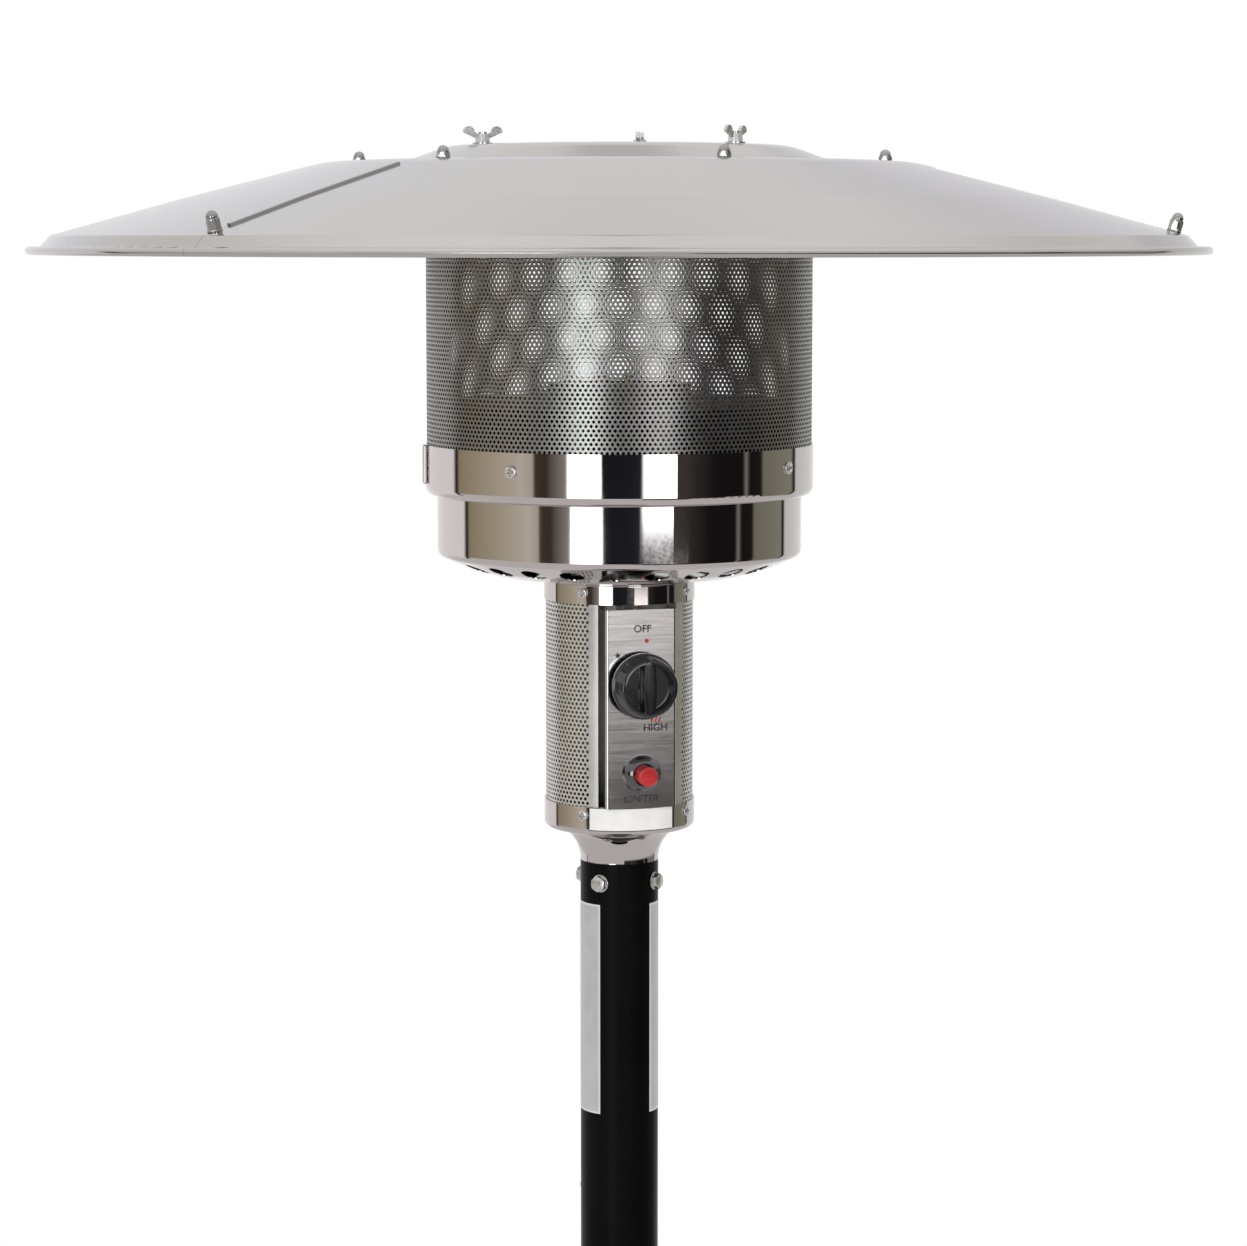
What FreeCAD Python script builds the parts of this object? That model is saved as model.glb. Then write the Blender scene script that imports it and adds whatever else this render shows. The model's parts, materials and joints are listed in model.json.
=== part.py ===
import FreeCAD, Part
import math
import os

# A free-standing gas patio heater.  Sizes are in millimetres, Z is up from the floor,
# the control panel faces -Y, and every angle is taken from -Y towards +X.

# Fits shared by every piece
SLIP_FIT = 0.1
RUNNING_FIT = 0.05
HOLE_CLEARANCE = 0.15
CUT_MARGIN = 1.0
SCREW_DOMING = 0.6
SHEET = 1.0
FULL_TURN = 360.0
RIGHT_ANGLE = 90.0

# Base pan, feet and weight
FOOT_HEIGHT = 6.0
FOOT_RADIUS = 9.0
FOOT_COUNT = 6
BASE_RADIUS = 235.0
BASE_HEIGHT = 64.0
BASE_SHEET = 2.0
BASE_LIP = 22.0
BASE_SHOULDER = 10.0
BASE_TOE = 3.0
BASE_DRAIN_RADIUS = 12.0
ANCHOR_COUNT = 3
ANCHOR_HOLE_RADIUS = 4.5
BALLAST_INNER_RADIUS = 40.0
BALLAST_MARGIN = 1.0
BALLAST_GROUND_GAP = 8.0

# Three bent support brackets between the base and the post
BRACKET_ANGLES = (60.0, 180.0, 300.0)
BRACKET_RADIUS = 182.0
BRACKET_WIDTH = 40.0
BRACKET_BAR = 5.0
BRACKET_FOOT = 70.0
BRACKET_BEND = 14.0
BRACKET_TIP_RADIUS = 34.0
BRACKET_BOLT_INSET = 45.0
BRACKET_BOLT_RADIUS = 4.0
BRACKET_BOLT_FLATS = 13.0
BRACKET_BOLT_HEAD = 5.3

# Flange and post
FLANGE_RADIUS = 64.0
FLANGE_THICKNESS = 8.0
FLANGE_BOLT_CIRCLE = 49.0
FLANGE_SPIGOT = 70.0
SPIGOT_WALL = 2.5
HOSE_WAY_RADIUS = 18.0
POST_RADIUS = 27.5
POST_WALL = 1.5
LOWER_POST_LENGTH = 909.5
UPPER_POST_LENGTH = 189.3
COUPLING_LENGTH = 150.0
COUPLING_WALL = 2.0
SET_SCREW_ANGLES = (135.0, 225.0)
SET_SCREW_RADIUS = 2.5
SET_SCREW_HEAD_RADIUS = 4.6
SET_SCREW_HEAD = 2.6
SET_SCREW_DROP = 50.0

# Lift-up housing round the gas bottle
TANK_LEDGE = 35.0
TANK_SHEET = 0.9
TANK_HEIGHT = 560.0
TANK_FLOOR_GAP = 0.3
TANK_HEAD_ROOM = 40.3
TANK_TOP_RISE = 44.0
TANK_TOP_SKIRT = 14.0
TANK_TOP_CORNER = 12.0
TANK_CROWN_BEND = 4.0
TANK_NECK_BEND = 2.0
TANK_NECK_RADIUS = 46.0
TANK_NECK_HEIGHT = 12.0
TANK_POST_GAP = 1.2
TANK_RIVET_COUNT = 6
TANK_RIVET_RADIUS = 4.0
TANK_RIVET_HEAD = 1.6
TANK_RIVET_SHANK = 2.4
TANK_RIVET_TAIL = 0.8
TANK_RIVET_START = 30.0

# Flared collar on the post and its four bolts
COLLAR_HEIGHT = 24.2
COLLAR_STRAIGHT = 0.5
COLLAR_TOP_RADIUS = 44.0
COLLAR_SPIGOT = 30.0
CORNER_ANGLES = (45.0, 135.0, 225.0, 315.0)
POST_BOLT_DROP = 13.8
POST_BOLT_RADIUS = 3.0
POST_BOLT_FLATS = 10.0
POST_BOLT_HEAD = 4.0
POST_WASHER_RADIUS = 6.2
POST_WASHER = 1.0
POST_BOLT_TAIL = 3.0

# Control housing: two caps, a perforated wrap and the panel between them
CAP_RADIUS = 52.8
CAP_SHEET = 1.0
CAP_CORNER = 4.5
TOP_CAP_CORNER = 2.5
BOTTOM_CAP_HEIGHT = 20.0
TOP_CAP_HEIGHT = 15.0
WRAP_RADIUS = 51.6
WRAP_SHEET = 0.8
WRAP_EXPOSED = 141.0
WRAP_TUCK = 11.5
WRAP_HALF_OPENING = 33.0
CAP_SCREW_INSET = 6.0
TOP_SCREW_INSET = 8.0
CAP_SCREW_RADIUS = 1.8
CAP_SCREW_HEAD_RADIUS = 3.6
CAP_SCREW_HEAD = 2.0
CAP_SCREW_TAIL = 4.0
CAP_BOLT_CIRCLE = 30.0
CAP_BOLT_COUNT = 3
CAP_BOLT_RADIUS = 2.4
CAP_BOLT_HEAD_RADIUS = 4.5
CAP_BOLT_HEAD = 2.6
CAP_BOLT_TAIL = 4.0
CAP_BOLT_REACH = 5.0
CAP_BOLT_ROOM = 0.5
PANEL_FRONT = 53.6
PANEL_TOP_GAP = 3.0
PANEL_WIDTH = 50.8
PANEL_SHEET = 1.2
PANEL_FLANGE = 21.0
PANEL_BEND = 2.0

# Gas valve with its push-and-turn spindle and knob
KNOB_DROP = 52.3
KNOB_RADIUS = 23.0
KNOB_SKIRT = 4.0
KNOB_BODY_RADIUS = 21.6
KNOB_FACE_RADIUS = 20.0
KNOB_DEPTH = 17.0
KNOB_PANEL_GAP = 5.0
KNOB_PUSH = 4.5
KNOB_GRIP_WIDTH = 9.0
KNOB_SCOOP_RADIUS = 19.0
KNOB_SCOOP_DEPTH = 8.5
KNOB_RECESS_RADIUS = 12.0
KNOB_RECESS = 8.5
KNOB_FACE_WALL = 2.5
KNOB_END_PLAY = 0.5
STEM_RADIUS = 4.0
NECK_RADIUS = 7.0
NECK_PROUD = 3.2
NUT_FLATS = 18.0
NUT_THICKNESS = 2.6
VALVE_WIDTH = 36.0
VALVE_DEPTH = 58.0
VALVE_HEIGHT = 40.0
VALVE_BACK_GAP = 2.0
VALVE_EDGE = 3.0
PLUNGER_RADIUS = 6.5
PLUNGER_LENGTH = 12.0
PLUNGER_ROOM = 1.0
STEM_SOCKET = 7.0

# Push-button igniter
IGNITER_DROP = 113.7
IGNITER_BODY_RADIUS = 11.0
IGNITER_BODY_LENGTH = 34.0
IGNITER_NECK_RADIUS = 9.5
BEZEL_RADIUS = 13.0
BEZEL_HEIGHT = 7.2
BEZEL_RIM = 3.0
BEZEL_FACE_GAP = 1.2
BEZEL_BULGE_OUT = 0.574
BEZEL_BULGE_UP = 0.605
BUTTON_RADIUS = 6.75
BUTTON_PROUD = 11.0
BUTTON_TRAVEL = 5.5
BUTTON_TAIL = 16.0
BUTTON_COLLAR = 1.0
BUTTON_COLLAR_LENGTH = 3.0
BUTTON_EDGE = 1.0

# Gas train on the heater's axis
INLET_FLATS = 17.0
INLET_HEX = 10.0
INLET_RADIUS = 6.0
INLET_LENGTH = 34.0
INLET_BORE = 3.0
JET_FLATS = 13.0
JET_HEX = 7.0
JET_RADIUS = 4.0
JET_LENGTH = 16.0
JET_BORE = 1.0
VENTURI_RADIUS = 12.5
VENTURI_WALL = 1.2
VENTURI_JET_GAP = 0.5
VENTURI_BELL_RADIUS = 18.0
VENTURI_BELL = 14.0
TILT_WIDTH = 24.0
TILT_DEPTH = 15.0
TILT_HEIGHT = 26.0
TILT_OFFSET = 30.0

# Burner bowl, band, emitter screen and burner
BOWL_RADIUS = 127.0
BOWL_DISH_WIDTH = 61.0
BOWL_DISH_MIDDLE = 39.0
BOWL_DISH_MIDDLE_RISE = 2.9
BOWL_DISH_OUTER = 22.0
BOWL_DISH_OUTER_RISE = 7.5
BOWL_RISE = 17.0
BOWL_CORNER = 5.0
BOWL_SWEEP = 60.0
BOWL_TO_BAND = 58.5
BOWL_RIM_RISE = 63.0
VENT_COUNT = 24
VENT_TURN = -3.2
VENT_CIRCLE = 110.0
VENT_RADIUS = 8.5
BAND_RADIUS = 135.2
BAND_HEIGHT = 35.2
BAND_CORNER = 6.0
BAND_SCREW_RISE = 22.5
BAND_SCREW_TURN = -3.75
BAND_SCREW_RADIUS = 2.0
BAND_SCREW_HEAD_RADIUS = 4.4
BAND_SCREW_HEAD = 2.2
BAND_SCREW_TAIL = 3.0
CLASP_ANGLE = -98.0
CLASP_WIDTH = 12.0
CLASP_HEIGHT = 27.0
CLASP_THICKNESS = 2.6
CLASP_EDGE = 1.0
EMITTER_SHEET = 0.8
EMITTER_RISE = 169.3
LID_SKIRT = 10.0
LID_BEND = 2.0
BURNER_PLATE = 1.5
BURNER_RADIUS = 36.0
BURNER_HEIGHT = 10.0
BURNER_WALL = 1.5
PORT_COUNT = 18
PORT_CIRCLE = 27.0
PORT_RADIUS = 2.5
FLAME_TUBE_RADIUS = 50.0
FLAME_TUBE_HEIGHT = 12.0
PILOT_CIRCLE = 42.5
PILOT_ANGLE = 180.0
PILOT_TUBE_RADIUS = 2.5
PILOT_RISE = 8.0
PILOT_HOOD_RADIUS = 4.5
PILOT_HOOD_HEIGHT = 9.0
THERMOCOUPLE_ANGLE = 155.0
THERMOCOUPLE_RADIUS = 2.2
THERMOCOUPLE_RISE = 18.0
THERMOCOUPLE_GAP = 0.6
ELECTRODE_ANGLE = 205.0
ELECTRODE_RADIUS = 3.2
ELECTRODE_RISE = 6.0
ELECTRODE_DROP = 16.0
ELECTRODE_PIN_RADIUS = 1.1
ELECTRODE_PIN = 9.0
TUBE_BEND = 10.0

# Three-panel reflector on three studs
STUD_ANGLES = (35.0, 155.0, 275.0)
STUD_CIRCLE = 100.0
WING_TURNS = (8.0, 90.0, 90.0)
STUD_RADIUS = 3.0
STUD_HEAD_FLATS = 10.0
STUD_HEAD = 4.0
SPACER_RADIUS = 5.0
SPACER_LENGTH = 34.0
WASHER_RADIUS = 7.0
WASHER = 1.2
WING_HUB_RADIUS = 5.2
WING_HUB_TOP_RADIUS = 4.6
WING_HUB_HEIGHT = 5.6
WING_SPAN = 28.0
WING_HEIGHT = 11.0
WING_THICKNESS = 2.4
WING_ROOT = 2.0
WING_TIP_RADIUS = 4.0
WING_SEAT_GAP = 0.15
STUD_PROUD = 1.6
HOOD_SHEET = 1.0
HOOD_RADIUS = 406.5
DOME_BASE_RADIUS = 152.0
DOME_SLOPE_WIDTH = 34.0
DOME_HEIGHT = 11.5
DOME_CROWN = 45.0
DOME_FOOT = 4.0
PANEL_INNER_GAP = 5.0
NUT_INNER_GAP = 32.0
FLANGE_RING_MARGIN = 8.0
HOOD_SHOULDER_MARGIN = 19.0
HOOD_SHOULDER = 80.0
HOOD_KNEE_SHARE = 0.48
HOOD_KNEE_DROP = 36.7
HOOD_KNEE = 400.0
HOOD_STEP_INSET = 17.0
HOOD_STEP_DROP = 61.5
HOOD_STEP = 3.0
HOOD_LIP_INSET = 10.0
HOOD_LIP_DROP = 69.0
HOOD_LIP = 2.5
HOOD_BEAD_RADIUS = 2.75
HOOD_PANEL_ANGLES = (3.0, 123.0, 243.0)
HOOD_SEAM_GAP = 0.03
FOLD_INNER_GAP = 16.0
FOLD_OUTER_GAP = 12.0
FOLD_WIDTH = 2.8
FOLD_HEIGHT = 1.4
FOLD_GAP = 0.12
NUT_OUTER_INSET = 26.5
HOOD_BOLT_RADIUS = 2.9
HOOD_BOLT_HEAD_RADIUS = 5.0
HOOD_BOLT_HEAD = 3.0
HOOD_BOLT_REACH = 3.5
NUT_INNER_TURN = 2.0
DOME_NUT_FLATS = 8.0
DOME_NUT_HEX = 7.4
DOME_NUT_LOW_HEX = 2.9
DOME_NUT_WASHER_RADIUS = 4.9
DOME_NUT_WASHER = 1.0
DOME_NUT_CAP_RADIUS = 3.9
DOME_NUT_NECK = 0.6

# Heights that follow from the sizes above
base_top = FOOT_HEIGHT + BASE_HEIGHT
tank_bottom = base_top + TANK_FLOOR_GAP
tank_rim = tank_bottom + TANK_HEIGHT
bracket_top = tank_rim - TANK_HEAD_ROOM
post_bottom = bracket_top + FLANGE_THICKNESS
post_joint = post_bottom + LOWER_POST_LENGTH
post_top = post_joint + UPPER_POST_LENGTH
housing_bottom = post_top + COLLAR_HEIGHT
wrap_bottom = housing_bottom + BOTTOM_CAP_HEIGHT
wrap_top = wrap_bottom + WRAP_EXPOSED
bowl_bottom = wrap_top + TOP_CAP_HEIGHT
band_bottom = bowl_bottom + BOWL_TO_BAND
band_top = band_bottom + BAND_HEIGHT
bowl_rim = band_bottom + BOWL_RIM_RISE
burner_deck = bowl_rim + BURNER_PLATE
emitter_bottom = band_bottom + BAND_CORNER + SLIP_FIT
emitter_top = band_top + EMITTER_RISE
lid_top = emitter_top + SHEET
screen_top = lid_top - LID_BEND
dome_top = lid_top + SPACER_LENGTH + HOOD_SHEET
ring_top = dome_top - DOME_HEIGHT
panel_top = wrap_top - PANEL_TOP_GAP
knob_height = panel_top - KNOB_DROP
igniter_height = panel_top - IGNITER_DROP

# Radii that follow from the sizes above
post_bore = POST_RADIUS - POST_WALL
tank_radius = BASE_RADIUS - TANK_LEDGE
spigot_radius = post_bore - SLIP_FIT
emitter_radius = BAND_RADIUS - SHEET - SLIP_FIT
tank_neck_bore = POST_RADIUS + TANK_POST_GAP
foot_circle = BASE_RADIUS - BASE_LIP / 2.0
foot_pitch = FULL_TURN / FOOT_COUNT
dome_flat_radius = DOME_BASE_RADIUS - DOME_SLOPE_WIDTH
panel_inner_radius = DOME_BASE_RADIUS + PANEL_INNER_GAP
nut_inner_circle = DOME_BASE_RADIUS + NUT_INNER_GAP
flange_ring_radius = nut_inner_circle + FLANGE_RING_MARGIN
hood_shoulder_radius = nut_inner_circle + HOOD_SHOULDER_MARGIN
hood_step_radius = HOOD_RADIUS - HOOD_STEP_INSET
hood_lip_radius = HOOD_RADIUS - HOOD_LIP_INSET
nut_outer_circle = HOOD_RADIUS - NUT_OUTER_INSET
hood_knee_radius = hood_shoulder_radius + (HOOD_RADIUS - hood_shoulder_radius) * HOOD_KNEE_SHARE
fold_inner_radius = hood_shoulder_radius + FOLD_INNER_GAP
fold_outer_radius = nut_outer_circle - FOLD_OUTER_GAP

# Depths of the panel hardware, measured from the axis towards -Y
panel_back = PANEL_FRONT - PANEL_SHEET
valve_front = panel_back
valve_rear = valve_front - VALVE_DEPTH
knob_back = PANEL_FRONT + KNOB_PANEL_GAP
knob_front = knob_back + KNOB_DEPTH
plunger_front = valve_front - VALVE_BACK_GAP
plunger_rear = plunger_front - PLUNGER_LENGTH
plunger_stop = plunger_rear - KNOB_PUSH - PLUNGER_ROOM
stem_rear = plunger_front - STEM_SOCKET
stem_front = knob_front - KNOB_FACE_WALL
bezel_front = PANEL_FRONT + BEZEL_HEIGHT
button_front = bezel_front + BUTTON_PROUD
button_rear = panel_back - BUTTON_TAIL
button_room = button_rear - BUTTON_TRAVEL - KNOB_END_PLAY

Z_AXIS = FreeCAD.Vector(0, 0, 1)
ORIGIN = FreeCAD.Vector(0, 0, 0)
FRONT = FreeCAD.Vector(0, -1, 0)


def disc(radius, bottom, top):
    """Upright cylinder on the axis."""
    return Part.makeCylinder(radius, top - bottom, FreeCAD.Vector(0, 0, bottom))


def tube(outer, inner, bottom, top):
    """Upright tube on the axis."""
    return disc(outer, bottom, top).cut(disc(inner, bottom, top))


def turned(shape, angle):
    """Copy of a shape turned about the axis."""
    copy = shape.copy()
    copy.rotate(ORIGIN, Z_AXIS, angle)
    return copy


def moved(shape, x, y, z):
    """Copy of a shape shifted by x, y and z."""
    copy = shape.copy()
    copy.translate(FreeCAD.Vector(x, y, z))
    return copy


def around(shape, angles):
    """Loose group of copies of one shape, turned to each angle."""
    return Part.Compound([turned(shape, angle) for angle in angles])


def spaced(count, start=0.0):
    """Evenly spaced angles over a full turn."""
    return [start + FULL_TURN * index / count for index in range(count)]


def radial(radius, inner, outer, height):
    """Cylinder lying along -Y from one distance off the axis to another."""
    return Part.makeCylinder(radius, outer - inner, FreeCAD.Vector(0, -inner, height), FRONT)


def post_at(radius, circle, bottom, top):
    """Upright cylinder at a distance in front of the axis."""
    return Part.makeCylinder(radius, top - bottom, FreeCAD.Vector(0, -circle, bottom))


def hexagon(flats, height):
    """Upright hexagonal prism standing on the origin."""
    corner = flats / math.sqrt(3.0)
    points = [FreeCAD.Vector(corner, 0, 0)]
    for index in range(1, 7):
        angle = math.radians(60.0 * index)
        points.append(FreeCAD.Vector(corner * math.cos(angle), corner * math.sin(angle), 0))
    return Part.Face(Part.makePolygon(points)).extrude(FreeCAD.Vector(0, 0, height))


def laid_forward(shape, depth, height):
    """Shape that stood on the origin, laid so that its top points along -Y."""
    copy = shape.copy()
    copy.rotate(ORIGIN, FreeCAD.Vector(1, 0, 0), RIGHT_ANGLE)
    copy.translate(FreeCAD.Vector(0, -depth, height))
    return copy


def box(width, depth, height, front, bottom):
    """Box centred on X whose front face is at a distance in front of the axis."""
    corner = FreeCAD.Vector(-width / 2.0, -front, bottom)
    return Part.makeBox(width, depth, height, corner)


def corner_arc(before, corner, after, radius):
    """Tangent arc that rounds one corner, with its two ends."""
    back = (before - corner).normalize()
    ahead = (after - corner).normalize()
    half = back.getAngle(ahead) / 2.0
    reach = radius / math.tan(half)
    middle = (back + ahead).normalize()
    first = corner + back * reach
    last = corner + ahead * reach
    top = corner + middle * (radius / math.sin(half) - radius)
    return Part.Arc(first, top, last).toShape(), first, last


def path(points):
    """Wire through corner points, each with its own rounding radius."""
    corners = [FreeCAD.Vector(point[0], point[1], point[2]) for point in points]
    edges = []
    start = corners[0]
    for index in range(1, len(corners) - 1):
        radius = points[index][3]
        end = corners[index]
        following = end
        if radius > 0:
            arc, end, following = corner_arc(corners[index - 1], corners[index], corners[index + 1], radius)
        edges.append(Part.LineSegment(start, end).toShape())
        if radius > 0:
            edges.append(arc)
        start = following
    edges.append(Part.LineSegment(start, corners[-1]).toShape())
    return Part.Wire(edges)


def profile(points):
    """Path of (radius, height, rounding) points in the plane of the axis."""
    return path([(point[0], 0.0, point[1], point[2]) for point in points])


def sheet(points, thickness):
    """Face of bent sheet; a positive thickness lies to the left of the path."""
    return profile(points).makeOffset2D(thickness, fill=True, openResult=True)


def lathe(face, start=-RIGHT_ANGLE, sweep=FULL_TURN):
    """Turn a face in the plane of the axis into a solid."""
    return turned(face, start).revolve(ORIGIN, Z_AXIS, sweep)


def bent_tube(points, radius):
    """Round bar along a bent path."""
    spine = path(points)
    start = FreeCAD.Vector(*points[0][:3])
    heading = FreeCAD.Vector(*points[1][:3]) - start
    ring = Part.Wire(Part.makeCircle(radius, start, heading))
    return spine.makePipeShell([ring], True, False)


def on_circle(circle, angle):
    """Plan position on a circle at an angle from -Y."""
    turn = math.radians(angle)
    return circle * math.sin(turn), -circle * math.cos(turn)


def pan_screw(shank, head_radius, head, length):
    """Round-headed screw standing on the origin, head upward."""
    stem = Part.makeCylinder(shank, length, FreeCAD.Vector(0, 0, -length))
    cap = Part.makeCylinder(head_radius, head)
    return stem.fuse(cap.makeFillet(head * SCREW_DOMING, [cap.Edges[0]]))


def base_parts():
    """Feet, pan, weight and the bolts that hold the brackets down."""
    wall = BASE_RADIUS - BASE_LIP
    lip_top = FOOT_HEIGHT + BASE_SHEET
    pan = lathe(sheet([
        (BASE_DRAIN_RADIUS, base_top, 0),
        (wall, base_top, BASE_SHOULDER),
        (wall, lip_top, BASE_TOE),
        (BASE_RADIUS, lip_top, 0)], -BASE_SHEET))
    anchors = around(post_at(ANCHOR_HOLE_RADIUS, foot_circle, 0, base_top), spaced(ANCHOR_COUNT))
    bolt_circle = BRACKET_RADIUS - BRACKET_BOLT_INSET
    bolt_way = post_at(BRACKET_BOLT_RADIUS + HOLE_CLEARANCE, bolt_circle, FOOT_HEIGHT, base_top)
    bolt_ways = around(bolt_way, BRACKET_ANGLES)
    feet = around(post_at(FOOT_RADIUS, foot_circle, 0, FOOT_HEIGHT), spaced(FOOT_COUNT, foot_pitch / 2.0))
    ballast = tube(
        wall - BASE_SHOULDER - BALLAST_MARGIN,
        BALLAST_INNER_RADIUS,
        FOOT_HEIGHT + BALLAST_GROUND_GAP,
        base_top - BASE_SHEET)
    return {
        "base_feet": feet,
        "base_pan": pan.cut(anchors).cut(bolt_ways),
        "base_ballast": ballast.cut(bolt_ways),
        "bracket_bolts": around(bracket_bolt(bolt_circle), BRACKET_ANGLES),
    }


def bracket_bolt(circle):
    """Hex bolt through a bracket foot into the base."""
    seat = base_top + BRACKET_BAR
    tail = base_top - BASE_HEIGHT / 2.0
    head = moved(hexagon(BRACKET_BOLT_FLATS, BRACKET_BOLT_HEAD), 0, -circle, seat)
    return head.fuse(post_at(BRACKET_BOLT_RADIUS, circle, tail, seat))


def bracket():
    """One flat bar bent into a foot, an upright and a top arm."""
    bar = sheet([
        (BRACKET_RADIUS - BRACKET_FOOT, base_top, 0),
        (BRACKET_RADIUS, base_top, BRACKET_BEND),
        (BRACKET_RADIUS, bracket_top, BRACKET_BEND),
        (BRACKET_TIP_RADIUS, bracket_top, 0)], BRACKET_BAR)
    blade = bar.extrude(FreeCAD.Vector(0, BRACKET_WIDTH, 0))
    blade = moved(blade, 0, -BRACKET_WIDTH / 2.0, 0)
    bolt_way = BRACKET_BOLT_RADIUS + HOLE_CLEARANCE
    foot_hole = post_at(bolt_way, BRACKET_RADIUS - BRACKET_BOLT_INSET, base_top, base_top + BRACKET_BAR)
    arm_hole = post_at(bolt_way, FLANGE_BOLT_CIRCLE, bracket_top - BRACKET_BAR, bracket_top)
    return turned(blade, -RIGHT_ANGLE).cut(foot_hole).cut(arm_hole)


def flange_bolt():
    """Hex bolt up through a bracket arm and the flange, with its nut."""
    seat = bracket_top - BRACKET_BAR
    head = moved(hexagon(BRACKET_BOLT_FLATS, BRACKET_BOLT_HEAD), 0, 0, -BRACKET_BOLT_HEAD)
    nut = moved(hexagon(BRACKET_BOLT_FLATS, BRACKET_BOLT_HEAD), 0, 0, post_bottom - seat)
    shank = disc(BRACKET_BOLT_RADIUS, 0, post_bottom + BRACKET_BOLT_HEAD - seat)
    return moved(head.fuse(shank).fuse(nut), 0, -FLANGE_BOLT_CIRCLE, seat)


def set_screw():
    """Screw through the post wall into the tube inside it."""
    length = POST_WALL + SLIP_FIT + COUPLING_WALL
    screw = pan_screw(SET_SCREW_RADIUS, SET_SCREW_HEAD_RADIUS, SET_SCREW_HEAD, length)
    return laid_forward(screw, POST_RADIUS, 0)


def post_parts():
    """Flange, both post tubes, the coupling inside their joint and the set screws."""
    hose_way = disc(HOSE_WAY_RADIUS, bracket_top, post_bottom + FLANGE_SPIGOT)
    spigot = tube(spigot_radius, spigot_radius - SPIGOT_WALL, post_bottom, post_bottom + FLANGE_SPIGOT)
    plate = disc(FLANGE_RADIUS, bracket_top, post_bottom).cut(hose_way)
    bolt_hole = post_at(BRACKET_BOLT_RADIUS + HOLE_CLEARANCE, FLANGE_BOLT_CIRCLE, bracket_top, post_bottom)
    flange = plate.fuse(spigot).cut(around(bolt_hole, BRACKET_ANGLES))
    half = COUPLING_LENGTH / 2.0
    coupling = tube(spigot_radius, spigot_radius - COUPLING_WALL, post_joint - half, post_joint + half)
    lower = tube(POST_RADIUS, post_bore, post_bottom, post_joint)
    upper = tube(POST_RADIUS, post_bore, post_joint, post_top)
    levels = (post_bottom + FLANGE_SPIGOT / 2.0, post_joint - SET_SCREW_DROP)
    screw_hole = radial(SET_SCREW_RADIUS + HOLE_CLEARANCE, HOSE_WAY_RADIUS, POST_RADIUS + CUT_MARGIN, 0)
    screws = []
    for level in levels:
        holes = around(moved(screw_hole, 0, 0, level), SET_SCREW_ANGLES)
        lower = lower.cut(holes)
        flange = flange.cut(holes)
        coupling = coupling.cut(holes)
        screws.append(around(moved(set_screw(), 0, 0, level), SET_SCREW_ANGLES))
    bolt_level = post_top - POST_BOLT_DROP
    bolt_way = radial(POST_BOLT_RADIUS + HOLE_CLEARANCE, 0, POST_RADIUS + CUT_MARGIN, bolt_level)
    return {
        "post_flange": flange,
        "flange_bolts": around(flange_bolt(), BRACKET_ANGLES),
        "lower_post": lower,
        "post_coupling": coupling,
        "upper_post": upper.cut(around(bolt_way, CORNER_ANGLES)),
        "post_set_screws": Part.Compound(screws),
    }


def tank_parts():
    """Shell and top of the housing that lifts up the post, with its rivets."""
    shell = tube(tank_radius, tank_radius - TANK_SHEET, tank_bottom, tank_rim)
    skin = tank_radius + TANK_SHEET + SLIP_FIT
    crown = tank_rim + TANK_SHEET + TANK_TOP_RISE
    neck = tank_neck_bore + TANK_SHEET
    top = lathe(sheet([
        (neck, crown + TANK_NECK_HEIGHT, 0),
        (neck, crown, TANK_NECK_BEND),
        (TANK_NECK_RADIUS, crown, TANK_CROWN_BEND),
        (skin, tank_rim + TANK_SHEET + TANK_TOP_CORNER, TANK_TOP_CORNER),
        (skin, tank_rim - TANK_TOP_SKIRT, 0)], -TANK_SHEET))
    level = tank_rim - TANK_TOP_SKIRT / 2.0
    angles = spaced(TANK_RIVET_COUNT, TANK_RIVET_START)
    hole = radial(TANK_RIVET_SHANK + HOLE_CLEARANCE, TANK_NECK_RADIUS, skin + CUT_MARGIN, level)
    holes = around(hole, angles)
    grip = 2.0 * TANK_SHEET + SLIP_FIT + TANK_RIVET_TAIL
    rivet = pan_screw(TANK_RIVET_SHANK, TANK_RIVET_RADIUS, TANK_RIVET_HEAD, grip)
    rivets = around(laid_forward(rivet, skin, level), angles)
    return {
        "tank_shell": shell.cut(holes),
        "tank_top": top.cut(holes),
        "tank_rivets": rivets,
    }


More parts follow.
